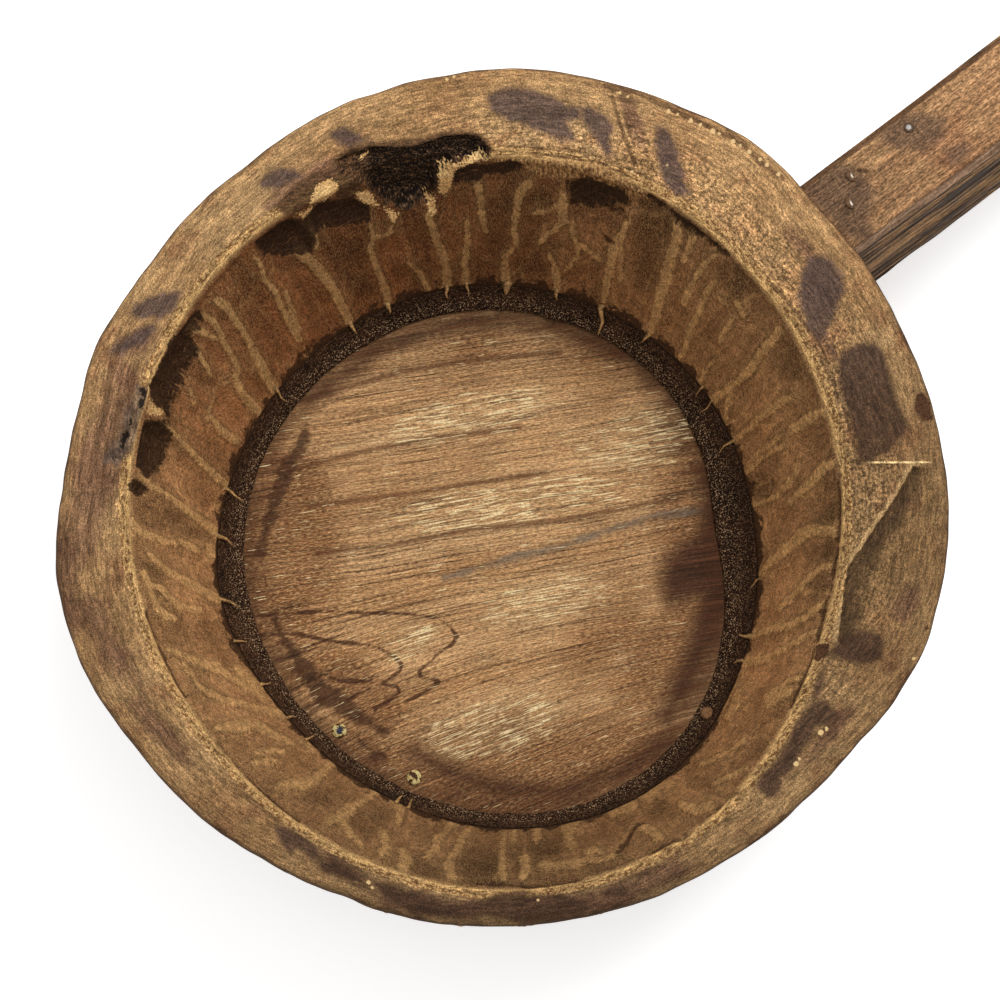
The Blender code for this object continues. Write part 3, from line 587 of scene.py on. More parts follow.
# Pitch: its section from the wall's foot down, along the board and up its face, as places along it and shares
# across and up, where its face begins, its gap at the wall, its length, its grains and how light it is all round
SEAL_SECTION = (
    (0.0, 1.0, 1.0), (0.10, 1.0, 0.0), (0.24, 0.0, 0.0), (0.36, 0.10, 0.16),
    (0.60, 0.45, 0.38), (0.82, 0.78, 0.72), (1.0, 1.0, 1.0),
)
SEAL_FACE = (0.24, 0.32)
SEAL_GAP = 0.25 * MM
SEAL_RUN = 30 * MM
PITCH_GRAIN = 0.6 * MM
PITCH_PIT = 0.35 * MM
PITCH_TONE = ((0, 1.0), (60, 1.0), (110, 1.15), (143, 1.5), (190, 1.4), (230, 1.15), (300, 1.0))

# Handle: middle, top and free end of the bar, its gap at the wall, and its width and height at root and end
HANDLE_MIDDLE_Y = 14 * MM
HANDLE_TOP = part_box("handle")[1].z
HANDLE_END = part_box("handle")[1].x - AXIS.x
HANDLE_GAP = 0.2 * MM
HANDLE_WIDTH = (34.6 * MM, 39 * MM)
HANDLE_HEIGHT = (51 * MM, 41 * MM)

# Lean of the far and the near flank
HANDLE_LEAN = (math.radians(8), math.radians(9.6))

# Sides of the bar's section in turn, with their vertices
HANDLE_SIDES = (
    ("flank", 46), ("low_edge", 4), ("under", 40), ("low_edge", 4),
    ("flank", 46), ("arris", 6), ("top", 44), ("arris", 3),
)

# Wood that swells up round the nail heads on the handle, and old nail holes: place on its top and height in millimetres
HANDLE_SWELL = ((196, 22.4, 1.4), (189, 14, 1.4), (226, 24, 0.9))
SWELL_RADIUS = 4.5 * MM
HANDLE_PITS = ((200, 22), (202.5, 20.5))
PIT_RADIUS = 1.1 * MM
PIT_DEPTH = 1.6 * MM
GROOVE_DEPTH = 0.75 * MM
GROOVE_LIMIT = 1.2

# How far the worn bar lies inside the solid's, and how far and from where its end is rounded
HANDLE_WORN = 0.7 * MM
END_ROUND = 1.6 * MM
END_START = 0.985

# Rings of the handle's free end, as shares of its section and depth, and where its growth rings have their middle
HANDLE_CAP = ((0.985, -0.05 * MM), (0.95, 0.0), (0.75, 0.0), (0.5, 0.0), (0.25, 0.0))
HANDLE_PITH = (-9 * MM, 12 * MM)

# Camera, from the photograph
CAMERA_AZIMUTH = math.radians(-37.1)
CAMERA_ELEVATION = math.radians(81)
CAMERA_DISTANCE = 1.25
CAMERA_TARGET = AXIS + Vector((8.1 * MM, 1.6 * MM, RIM_TOP))
FRAME_WIDTH = 382 * MM
SENSOR = 36.0

# Lamps: place to the right, up and above in the photograph's view, size and power
LAMPS = {"key": ((0.55, 0.75, 1.95), 0.9, 26.0), "fill": ((-0.3, -0.2, 2.2), 1.6, 12.0)}
LAMP_TARGET = (0.0, 0.0, 0.10)
FLOOR_HALF = 6.0
FLOOR_DROP = 0.5 * MM
FLOOR_TONE = 0.93
FLOOR_LIFT = 0.50
WORLD_LIGHT = 0.42

# Where a noise has most of its values, and where it is counted as swinging from end to end
NOISE_SPREAD = (0.28, 0.72)
NOISE_SWING = (0.38, 0.62)

# The painted glint on a slanted nail's head: how far in from the head's outer end, and how much shorter it is upwards
GLINT_INSET = 1.6 * MM
GLINT_SQUEEZE = (1.0, 0.35)

# Nails under a crust: radius of the bare middle, and how broken the crust is
CRUSTED_NAILS = {"base_nail_1": (1.5 * MM, 0.08), "base_nail_2": (-1.0 * MM, 0.09)}

# Shine of all wood, pitch and iron
SPECULAR = 0.1


class Value:
    """What a node gives out, so that sums of nodes read as sums."""

    def __init__(self, look, socket):
        self.look, self.socket = look, socket

    def __add__(self, other):
        return self.look.math("ADD", self, other)

    def __sub__(self, other):
        return self.look.math("SUBTRACT", self, other)

    def __rsub__(self, other):
        return self.look.math("SUBTRACT", other, self)

    def __mul__(self, other):
        return self.look.math("MULTIPLY", self, other)

    def step(self, low, high):
        """A smooth step from 0 at low to 1 at high."""
        return self.look.ranged(self, (low, high), (0.0, 1.0), "SMOOTHSTEP")

    def spread(self, low, high):
        """Noise, which stays near the middle, spread out to run from low to high."""
        return self.look.ranged(self, NOISE_SPREAD, (low, high))

    def vary(self, swing):
        """Noise turned into a strong change of tone, from 1 - swing to 1 + swing."""
        return self.look.ranged(self, NOISE_SWING, (1 - swing, 1 + swing))


def linear(colour, *alpha):
    """Linear light of a colour in display values. A node's colour stays as it is."""
    if isinstance(colour, Value):
        return colour
    values = np.array(colour) / 255
    light = np.where(values <= 0.04045, values / 12.92, ((values + 0.055) / 1.055) ** 2.4)
    return (*light.tolist(), *alpha)


class Look:
    """One procedural material, with short names for the nodes that it is made of."""

    def __init__(self, name, kind=bpy.data.materials, shader="Principled BSDF"):
        self.owner = kind.new(name)
        self.owner.use_nodes = True
        self.tree = self.owner.node_tree
        self.shader = self.tree.nodes[shader]

    def put(self, node, inputs):
        """Links a node's inputs, or sets plain values."""
        for name, value in inputs.items():
            if isinstance(value, Value):
                self.tree.links.new(value.socket, node.inputs[name])
            else:
                node.inputs[name].default_value = value

    def node(self, kind, inputs, output=0, **settings):
        """One output of a new node."""
        node = self.tree.nodes.new("ShaderNode" + kind)
        for name, setting in settings.items():
            setattr(node, name, setting)
        self.put(node, inputs)
        return Value(self, node.outputs[output])

    def math(self, operation, first, second=0.0):
        """One sum."""
        return self.node("Math", {0: first, 1: second}, operation=operation)

    def vector(self, operation, first, second, output=0):
        """One sum with places."""
        return self.node("VectorMath", {0: first, 1: second}, output, operation=operation)

    def ranged(self, value, start, end, kind="LINEAR"):
        """A value carried over from one range to another, and kept inside it."""
        inputs = {"Value": value, "From Min": start[0], "From Max": start[1], "To Min": end[0], "To Max": end[1]}
        return self.node("MapRange", inputs, "Result", interpolation_type=kind)

    def field(self, name):
        """A value that the mesh holds at each vertex."""
        return self.node("Attribute", {}, "Fac", attribute_name=name)

    def flow(self, name, stretch=(1.0, 1.0, 1.0)):
        """Coordinates that the mesh holds at each vertex, scaled along each of their axes."""
        return self.vector("MULTIPLY", self.node("Attribute", {}, "Vector", attribute_name=name), stretch)

    def noise(self, place, scale, detail, roughness=0.6, stretch=(1.0, 1.0, 1.0)):
        """Noise from 0 to 1 over a flow of the mesh or other places, with about scale bumps to a metre."""
        place = self.flow(place, stretch) if isinstance(place, str) else self.vector("MULTIPLY", place, stretch)
        inputs = {"Vector": place, "Scale": scale, "Detail": detail, "Roughness": roughness}
        return self.node("TexNoise", inputs, "Fac")

    def facets(self, place, scale, bend):
        """Random cells with bent sides: the distance from their sides, and a value for each cell."""
        inputs = {"Vector": self.vector("ADD", place, bend), "Scale": scale}
        cells = (("DISTANCE_TO_EDGE", "Distance"), ("F1", "Color"))
        return [self.node("TexVoronoi", inputs, output, feature=feature) for feature, output in cells]

    def mix(self, share, below, above):
        """Two colours mixed."""
        return self.node("Mix", {0: share, 6: linear(below, 1.0), 7: linear(above, 1.0)}, 2, data_type="RGBA")

    def blend(self, rough, first, second):
        """Two colours mixed by a noise."""
        return self.mix(rough.spread(0.0, 1.0), first, second)

    def tint(self, colour, value):
        """A colour made darker or lighter by a value round 1."""
        return self.node("VectorMath", {0: linear(colour), "Scale": value}, operation="SCALE")

    def ragged(self, name, *edges):
        """A field whose edges are broken up by pairs of a noise and its swing."""
        value = self.field(name)
        for rough, swing in edges:
            value = value + rough.spread(-swing, swing)
        return value

    def laid(self, below, above, strength, name, low, high, *edges):
        """A colour laid over another, at a strength, where a ragged field passes from low to high."""
        return self.mix(self.ragged(name, *edges).step(low, high) * strength, below, above)

    def grain(self, colour, *layers):
        """A colour that pairs of a noise and its swing make darker and lighter."""
        for rough, swing in layers:
            colour = self.tint(colour, rough.vary(swing))
        return colour

    def flecked(self, colour, rough, swing, light):
        """A colour with dark specks and specks of a light colour where a noise is low and high."""
        colour = self.mix((1 - rough.step(0.34, 0.52)) * swing, colour, (0, 0, 0))
        return self.mix(rough.step(0.50, 0.68) * (swing * 0.8), colour, light)

    def dots(self, spots, rough):
        """How far inside the nearest of several round spots of the photograph a place is, a pixel as a millimetre."""
        place = self.flow("photo", (1.0, 1.0, 0.0))
        most = -1.0
        for x, y, radius in spots:
            inside = radius * MM - self.vector("DISTANCE", place, (x * MM, y * MM, 0.0), "Value")
            most = self.math("MAXIMUM", inside, most)
        return most + rough.spread(-0.7 * MM, 0.7 * MM)

    def seen_directly(self):
        """One where a camera, a mirror or glass looks straight at the surface, and 0 for the light it gives."""
        total, *others = (self.node("LightPath", {}, f"Is {ray} Ray") for ray in ("Camera", "Glossy", "Transmission"))
        for other in others:
            total = self.node("Math", {0: total, 1: other}, operation="ADD", use_clamp=True)
        return total

    def finish(self, colour, roughness, height, depth):
        """Joins colour, roughness and bump to the shader. Depth is the bump's height in metres."""
        bump = self.node("Bump", {"Height": height, "Distance": depth, "Strength": 1.0}, "Normal")
        inputs = {"Base Color": colour, "Roughness": roughness, "Specular IOR Level": SPECULAR, "Normal": bump}
        self.put(self.shader, inputs)
        return self.owner


def loop_of(table):
    """A smooth closed curve through pairs of degrees and values, as a function of the angle."""
    degrees, values = np.array(table, dtype=float).T
    degrees = np.concatenate([degrees - 360, degrees, degrees + 360])
    values = np.tile(values, 3)
    slopes = np.gradient(values, degrees)

    def value(angle):
        turn = np.degrees(angle) % 360
        after = np.searchsorted(degrees, turn, side="right")
        before = after - 1
        span = degrees[after] - degrees[before]
        t = (turn - degrees[before]) / span
        return (
            values[before] * (1 + 2 * t) * (1 - t) ** 2
            + slopes[before] * span * t * (1 - t) ** 2
            + values[after] * t**2 * (3 - 2 * t)
            + slopes[after] * span * t**2 * (t - 1)
        )

    return value


def outline(node, height, inwards=False, bridge=()):
    """Radius of a solid's wall all round, at a height, from its own faces. A range of degrees can be bridged."""
    mesh = frame["nodes"][node].data
    faces = BVHTree.FromPolygons([v.co for v in mesh.vertices], [p.vertices for p in mesh.polygons])
    table = []
    for degrees in range(0, 360, 3):
        if bridge and bridge[0] <= degrees <= bridge[1]:
            continue
        angle = math.radians(degrees + 0.01)
        out = Vector((math.cos(angle), math.sin(angle), 0.0))
        start = Vector((AXIS.x, AXIS.y, height)) + out * (0.4 if inwards else 0.0)
        hit = faces.ray_cast(start, -out if inwards else out)[0]
        table.append((degrees, math.hypot(hit.x - AXIS.x, hit.y - AXIS.y)))
    return loop_of(table)


RIM_LINE = outline("bowl_body", RIM_TOP - 8 * MM, inwards=True)
FOOT_LINE = outline("bowl_body", FOOT_HEIGHT, inwards=True)
MOUTH_LINE = outline("bowl_body", RIM_TOP - RIM_BEVEL - 0.2 * MM, bridge=KNOT_SPAN)
SEAT_LINE = outline("bowl_body", WALL_FOOT - 4 * MM)
LEDGE_LINE = outline("bowl_body", BOARD_BOTTOM / 2)
SEAL_LINE = outline("pitch_seal", SEAL_BOTTOM + 0.3 * MM)


def uneven(kind, x, y, z):
    """One kind of unevenness at many points, round 0."""
    height, scale, octaves, seed = RELIEF[kind]
    points = np.stack(np.broadcast_arrays(x, y, z), axis=-1) * scale + seed
    values = [noise.fractal(p, RELIEF_FADE, RELIEF_STEP, octaves) for p in points.reshape(-1, 3).tolist()]
    return height * np.array(values).reshape(points.shape[:-1])


def smooth(value, low, high):
    """A smooth step from 0 at low to 1 at high."""
    t = np.clip((value - low) / (high - low), 0.0, 1.0)
    return t * t * (3 - 2 * t)


def deepest(depths, least=FAR_OUT):
    """The greatest of several depths at each place, and no less than the least."""
    return np.maximum(np.maximum.reduce(list(depths)), least)


def marks(x, y, spots):
    """How deep a place lies in the nearest mark: its strength at the middle, 0 at the edge, less outside."""
    depths = []
    for middle_x, middle_y, half_long, half_wide, degrees, strength in spots:
        turn = math.radians(degrees)
        from_x, from_y = x - middle_x, y - middle_y
        along = from_x * math.cos(turn) + from_y * math.sin(turn)
        across = from_y * math.cos(turn) - from_x * math.sin(turn)
        inside = 1 - np.hypot(along / half_long, across / half_wide)
        depths.append(np.where(inside > 0, np.abs(inside) ** 0.6 * strength, inside))
    return deepest(depths, -1.0)


def view_axes():
    """Directions of the photograph's right, up and towards the camera."""
    level = math.cos(CAMERA_ELEVATION)
    right = np.array((math.cos(CAMERA_AZIMUTH), math.sin(CAMERA_AZIMUTH), 0.0))
    back = np.array((level * right[1], -level * right[0], math.sin(CAMERA_ELEVATION)))
    return right, np.cross(back, right), back


def in_photo(x, y, z):
    """Pixel at which a place, counted from the bowl's axis, shows in the photograph."""
    right, up, back = view_axes()
    place = np.stack(np.broadcast_arrays(x + AXIS.x, y + AXIS.y, z), axis=-1) - np.array(CAMERA_TARGET)
    scale = PHOTO_SIZE * CAMERA_DISTANCE / FRAME_WIDTH / (CAMERA_DISTANCE - place @ back)
    return PHOTO_SIZE / 2 + place @ right * scale, PHOTO_SIZE / 2 - place @ up * scale


def from_photo(px, py, height):
    """Place, counted from the bowl's axis, at which a pixel of the photograph meets a height."""
    right, up, back = view_axes()
    eye = np.array(CAMERA_TARGET) + back * CAMERA_DISTANCE
    pixel = FRAME_WIDTH / CAMERA_DISTANCE / PHOTO_SIZE
    ray = right * (px - PHOTO_SIZE / 2) * pixel + up * (PHOTO_SIZE / 2 - py) * pixel - back
    place = eye + ray * (height - eye[2]) / ray[2]
    return place - np.array((AXIS.x, AXIS.y, 0.0))


def wide_line(px, py, line, start=0.0, end=0.0):
    """How far inside a line, whose half width changes from start to end, pixels lie, below 0 outside it."""
    depths = []
    for number, ((ax, ay), (bx, by)) in enumerate(zip(line, line[1:])):
        run_x, run_y = bx - ax, by - ay
        t = np.clip(((px - ax) * run_x + (py - ay) * run_y) / (run_x**2 + run_y**2), 0, 1)
        half = start + (end - start) * (number + t) / (len(line) - 1)
        depths.append(half - np.hypot(px - ax - t * run_x, py - ay - t * run_y))
    return np.maximum.reduce(depths)


def along_any(px, py, lines, least=FAR_OUT):
    """How far inside the nearest of several lines with half widths pixels lie."""
    return deepest((wide_line(px, py, line, half, half) for half, line in lines), least)


def within(px, py, shape):
    """How far inside a closed outline pixels lie, below 0 outside it."""
    loop = shape + shape[:1]
    inside = np.zeros(np.shape(px), dtype=bool)
    for (ax, ay), (bx, by) in zip(loop, loop[1:]):
        spans = (ay > py) != (by > py)
        inside ^= spans & (px < ax + (py - ay) * (bx - ax) / ((by - ay) or 1e-9))
    depth = wide_line(px, py, loop)
    return np.where(inside, -depth, depth)


def within_any(px, py, shapes):
    """How far inside the nearest of several outlines pixels lie, kept between limits."""
    return np.minimum(deepest(within(px, py, shape) for shape in shapes), -FAR_OUT)


def grid_faces(rows, columns, wrap_rows, wrap_columns):
    """Quads of a grid of vertices, numbered row by row."""
    row = np.arange(rows if wrap_rows else rows - 1)
    column = np.arange(columns if wrap_columns else columns - 1)
    row, column = np.meshgrid(row, column, indexing="ij")
    next_row, next_column = (row + 1) % rows, (column + 1) % columns
    corners = (row, column), (row, next_column), (next_row, next_column), (next_row, column)
    return np.stack([r * columns + c for r, c in corners], axis=-1).reshape(-1, 4)


def new_piece(name, points, faces, material, replaced=None):
    """A smooth mesh in the scene, riding on the one body. Its points are counted from the bowl's axis."""
    mesh = bpy.data.meshes.new(name)
    mesh.from_pydata(points.reshape(-1, 3) + (AXIS.x, AXIS.y, 0.0), [], faces)
    mesh.validate()
    mesh.shade_smooth()
    mesh.materials.append(material)
    piece = bpy.data.objects.new(name, mesh)
    bpy.context.scene.collection.objects.link(piece)
    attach(piece, "root")
    if replaced:
        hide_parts(replaced)
    return mesh


def put_fields(mesh, shape, **fields):
    """Stores values at the vertices, spread out to the shape of their grid, or coordinates where there are three."""
    for name, values in fields.items():
        kind, key = ("FLOAT_VECTOR", "vector") if isinstance(values, tuple) else ("FLOAT", "value")
        parts = [np.broadcast_to(part, shape) for part in (values if isinstance(values, tuple) else (values,))]
        layer = mesh.attributes.new(name, kind, "POINT")
        layer.data.foreach_set(key, np.stack(parts, axis=-1).astype(np.float32).ravel())


def profile_row(block, share, lines):
    """Radius and height of one row of the wall, all round."""
    rim, foot, mouth, seat, ledge = lines
    flat = np.zeros_like(rim)
    turn = share * math.pi / 2
    if block == "foot":
        return ledge + (foot - FOOT_ROUND - ledge) * share, flat
    if block == "foot_edge":
        return foot - FOOT_ROUND * (1 - math.sin(turn)), flat + FOOT_HEIGHT * (1 - math.cos(turn))
    if block == "outer":
        bulge = math.sin(turn) ** WALL_BULGE
        return foot + (rim - foot) * bulge, flat + FOOT_HEIGHT + (RIM_TOP - RIM_ROUND - FOOT_HEIGHT) * share
    if block == "rim_edge":
        return rim - RIM_ROUND * (1 - math.cos(turn)), flat + RIM_TOP - RIM_ROUND * (1 - math.sin(turn))
    if block == "rim":
        start = rim - RIM_ROUND
        return start + (mouth + RIM_BEVEL - start) * share, flat + RIM_TOP
    if block == "bevel":
        sag = 0.25 * math.sin(share * math.pi)
        return mouth + RIM_BEVEL * (1 - share + sag), flat + RIM_TOP - RIM_BEVEL * (share - sag)
    if block == "inner":
        top = RIM_TOP - RIM_BEVEL
        return mouth + (seat - mouth) * share, flat + top + (WALL_FOOT - top) * share
    if block == "seat":
        return seat, flat + WALL_FOOT + (BOARD_BOTTOM - WALL_FOOT) * share
    if block == "ledge":
        return seat + (ledge - seat) * share, flat + BOARD_BOTTOM
    return ledge, flat + BOARD_BOTTOM * (1 - share)


def chop_facets(arc, height):
    """Shallow scallops of an adze in staggered columns, from 0 at their edges to 1 in their middles."""
    seed = RELIEF["adze_bend"][-1]
    column = arc / (2 * math.pi * FLOW_RADIUS / ADZE_COUNT) + uneven("adze_bend", arc, height * 0.3, seed)
    stagger = np.modf(np.sin(np.floor(column) * ADZE_SCATTER[0] + seed) * ADZE_SCATTER[1])[0]
    row = height / ADZE_TALL + stagger
    across, down = (2 * (at - np.floor(at)) - 1 for at in (column, row))
    return (1 - across**2) * (1 - 0.5 * down**2)


def make_body(material):
    """The hewn wall, as rings of vertices that run from under the foot over the rim and back inside."""
    angle = np.arange(COLUMNS) * 2 * math.pi / COLUMNS
    cos, sin = np.cos(angle), np.sin(angle)
    ring = FLOW_RADIUS * cos, FLOW_RADIUS * sin
    lines = [line(angle) for line in (RIM_LINE, FOOT_LINE, MOUTH_LINE, SEAT_LINE, LEDGE_LINE)]
    rows = [(block, step / count) for block, count in BLOCKS for step in range(count)]
    radius, level = (np.array(part) for part in zip(*(profile_row(*row, lines) for row in rows)))
    z = level
    names, share = (np.array(part)[:, None] for part in zip(*rows))
    on_rim, on_bevel, on_inner, on_outer, on_edge, on_seat, on_ledge = (
        names == block for block in ("rim", "bevel", "inner", "outer", "rim_edge", "seat", "ledge")
    )
    top, wall = on_rim | on_bevel | on_edge, on_inner | on_bevel
    across_rim = np.where(on_rim, 1 - share, on_edge | on_outer)
    depth = np.where(on_inner, share, on_seat | on_ledge)
    px, py = in_photo(radius * cos, radius * sin, z)

    def only(zone, values, other=FAR_OUT):
        return np.where(zone, values, other)

    def inside(zone, shapes):
        return only(zone, within_any(px, py, shapes))

    # Lumps of the hewn outline, and the adze's facets down the outside
    lumps = uneven("lumps", *ring, 0.0) + loop_of(GROWTH)(angle) * MM
    radius = radius + lumps * np.where(on_outer, smooth(share, 0.2, 1.0), across_rim)
    facets = chop_facets(angle * FLOW_RADIUS, z)
    fade = smooth(share, 0.0, 0.08) * (1 - smooth(share, 0.9, 1.0))
    radius = radius - only(on_outer, (ADZE_DEPTH * facets + uneven("weather", *ring, z * 0.25)) * fade, 0.0)

    # Gouge channels and torn wood down the inside
    walled = np.flatnonzero(wall)
    shake = uneven("shake", *ring, z[walled])
    worn, seam = np.full_like(radius, -RIDGE_REACH), np.full_like(radius, -RIDGE_REACH)
    wall_x, wall_y = px[walled] + shake, py[walled]
    ridges = (wide_line(wall_x, wall_y + shake, line, start, end) for start, end, line in RIDGES)
    worn[walled] = deepest(ridges, -RIDGE_REACH)
    seam[walled] = along_any(wall_x, wall_y, SEAMS, -RIDGE_REACH)
    height = only(wall, (1 + np.minimum(worn, 0.0) / RIDGE_REACH) ** RIDGE_POWER, 0.0)
    ease = smooth(depth, 0.0, 0.05) * (1 - 0.65 * smooth(depth, 0.85, 1.0))
    gouge = (GOUGE_DEPTH * (1 - height) + uneven("chatter", *ring, z * 1.2)) * ease
    torn, fringe = inside(wall, TORN), inside(wall | on_rim, FRINGE)
    fray = uneven("fray", *ring, z * 0.15)
    gouge = gouge + (TORN_DEPTH + TORN_FRAY * fray) * smooth(torn, 0.0, 8.0)
    gouge = gouge + SEAM_DEPTH * smooth(seam, -1.5, 0.5) + FRINGE_FRAY * fray * smooth(fringe, 0.0, 6.0)
    radius = radius + only(on_inner, gouge, only(on_bevel, gouge * share, 0.0))

    # The rim's own waves, cracks and dished cut
    x, y = radius * cos, radius * sin
    in_dish, from_dish = within(px, py, DISH_ZONE), -wide_line(px, py, DISH_EDGE)
    dish = np.clip(1 - from_dish / DISH_REACH, 0, 1)
    dish = only(top, dish * smooth(in_dish, 0.0, 2.5), 0.0)
    crack = only(top, along_any(px, py, CRACKS))
    chip, notch = (inside(top | on_inner, shapes) for shapes in (CHIPS, NOTCHES))
    sunk = RIM_SUNK - uneven("rim_waves", x, y, 0.0) - uneven("rim_ripples", x, y, 0.0) + DISH_DEPTH * dish
    sunk = sunk + CRACK_DEPTH * smooth(crack, -1.0, 3.0)
    sunk = sunk + CHIP_DEPTH * smooth(chip, 0.0, 3.0) + NOTCH_DEPTH * smooth(notch, 0.0, 4.0)
    for line, wide, deep in CREASES:
        sunk = sunk + deep * np.exp(-((wide_line(px, py, line) / wide) ** 2))
    z = z - only(top, sunk * np.where(on_bevel, 1 - share, np.where(on_edge, share, 1.0)), 0.0)

    # The knot's hollow, cut slantwise down and out through the mouth's edge
    char = inside(top | on_inner, (KNOT,))
    shallow = KNOT_SHALLOW + (1 - KNOT_SHALLOW) * smooth(px, *KNOT_SLOPE)
    twist = uneven("knot_twist", px * 0.25, py * 1.6 + px * 0.35, 0.0)
    burnt = np.where(char > 0, (KNOT_DEPTH * shallow + twist) * smooth(char, 0.0, 7.0), 0.0)
    x, y, z = x + burnt * KNOT_OUT * cos, y + burnt * KNOT_OUT * sin, z - burnt * KNOT_DOWN

    points = np.stack([x, y, np.maximum(z, 0.0)], axis=-1)
    faces = grid_faces(len(rows), COLUMNS, True, True)[:, ::-1]
    mesh = new_piece("hewn_bowl", points, faces, material, "bowl_body")
    steps = np.hypot(np.diff(radius, axis=0), np.diff(level, axis=0))
    length = np.concatenate([np.zeros((1, COLUMNS)), np.cumsum(steps, axis=0)])
    leaning = [angle + lean * length / FLOW_RADIUS for lean in (STROKE_LEAN, -STROKE_LEAN)]
    left, right = ((FLOW_RADIUS * np.cos(turned), FLOW_RADIUS * np.sin(turned), length) for turned in leaning)
    stain = deepest(within(px, py, shape) - inset for inset, shape in RIM_STAINS)
    put_fields(
        mesh, x.shape,
        flow=(*ring, length), photo=(px * MM, py * MM, z), lean_left=left, lean_right=right,
        rim_zone=top, inner_zone=on_inner | on_seat, rim_share=across_rim, depth=depth,
        bevel_zone=np.where(on_bevel, share, np.where(on_rim, share - 1, np.where(on_inner, 1.0, -1.0))),
        brink=np.where(on_edge, 1 - share, on_outer), rise=np.where(on_outer, share, top),
        tone=np.where(on_inner, loop_of(WALL_LIGHT_AND_TONE)(angle), np.where(top, loop_of(RIM_TONE)(angle), 1.0)),
        ruddy=only(on_inner, loop_of(WALL_RUDDY)(angle), 0.0),
        crisp=loop_of(RIDGE_CRISP)(angle), coarse=loop_of(RIM_COARSE)(angle),
        brown=only(top, marks(px, py, RIM_BROWN), -1.0), adze=only(on_outer, facets, 0.5),
        worn=worn, seam=seam, torn=torn, fringe=fringe, hollow=inside(on_inner, HOLLOWS),
        stain=only(top, np.minimum(stain, -FAR_OUT)), score=only(top, along_any(px, py, SCORES)),
        crack=crack, rotten=inside(top, ROTTEN), frayed=inside(top | on_inner, FRAYED),
        chip=chip, notch=notch, char=char, shallow=shallow,
        dish=dish, dish_side=np.clip(in_dish, -DISH_SIDE, DISH_SIDE),
        by_dish=only(top, 1 - smooth(from_dish - np.abs(in_dish), 1.0, 8.0), 0.0),
    )


def make_splinters(material):
    """Pale splinters at the feet of the ridges, bent inwards over the pitch."""
    points, faces = [], []
    rings, sides = len(SPLINTER_RINGS), len(SPLINTER_SIDES)
    for number, (half, root, tip) in enumerate(SPLINTERS):
        start = from_photo(*root, WALL_FOOT)
        run = from_photo(*tip, WALL_FOOT - 1.5 * MM)[:2] - start[:2]
        turn = math.atan2(start[1], start[0])
        out = np.array((math.cos(turn), math.sin(turn), 0.0))
        start = out * (float(SEAT_LINE(turn)) - SPLINTER_INSET)
        reach = float(np.hypot(*run))
        way = np.array((*run, 0.0)) / reach
        side = np.array((-way[1], way[0], 0.0))
        bow = side * reach * SPLINTER_BOW * math.sin(number * 2.3)
        first = len(points)
        for share, width in SPLINTER_RINGS:
            inwards, behind = max(share, 0.0), min(share, 0.0)
            middle = start + way * reach * inwards + bow * inwards * (1 - inwards) * 4 - out * 1.5 * MM * behind
            middle[2] = WALL_FOOT + (0.6 - 1.6 * inwards**1.5 - 4.0 * behind) * MM - SPLINTER_DROP * reach * inwards
            broad = side * half * width * FRAME_WIDTH / PHOTO_SIZE
            points += [middle + broad * across + (0.0, 0.0, thick * MM) for across, thick in SPLINTER_SIDES]
        faces += (grid_faces(rings, sides, False, True)[:, (0, 3, 2, 1)] + first).tolist()
        last = len(points) - 1
        faces += [tuple(range(first, first + sides)), tuple(range(last, last - sides, -1))]
    points = np.array(points)
    mesh = new_piece("splinters", points, faces, material)
    unmarked = ("torn", "char", "chip", "notch", "seam", "hollow", "fringe", "crack", "rotten", "frayed")
    fields = {name: FAR_OUT for name in unmarked} | {"inner_zone": 1.0, "worn": 4.0, "tone": 1.15, "crisp": 1.0}
    flows = {name: tuple(points.T) for name in ("flow", "lean_left", "lean_right")}
    put_fields(mesh, len(points), **flows, **fields)


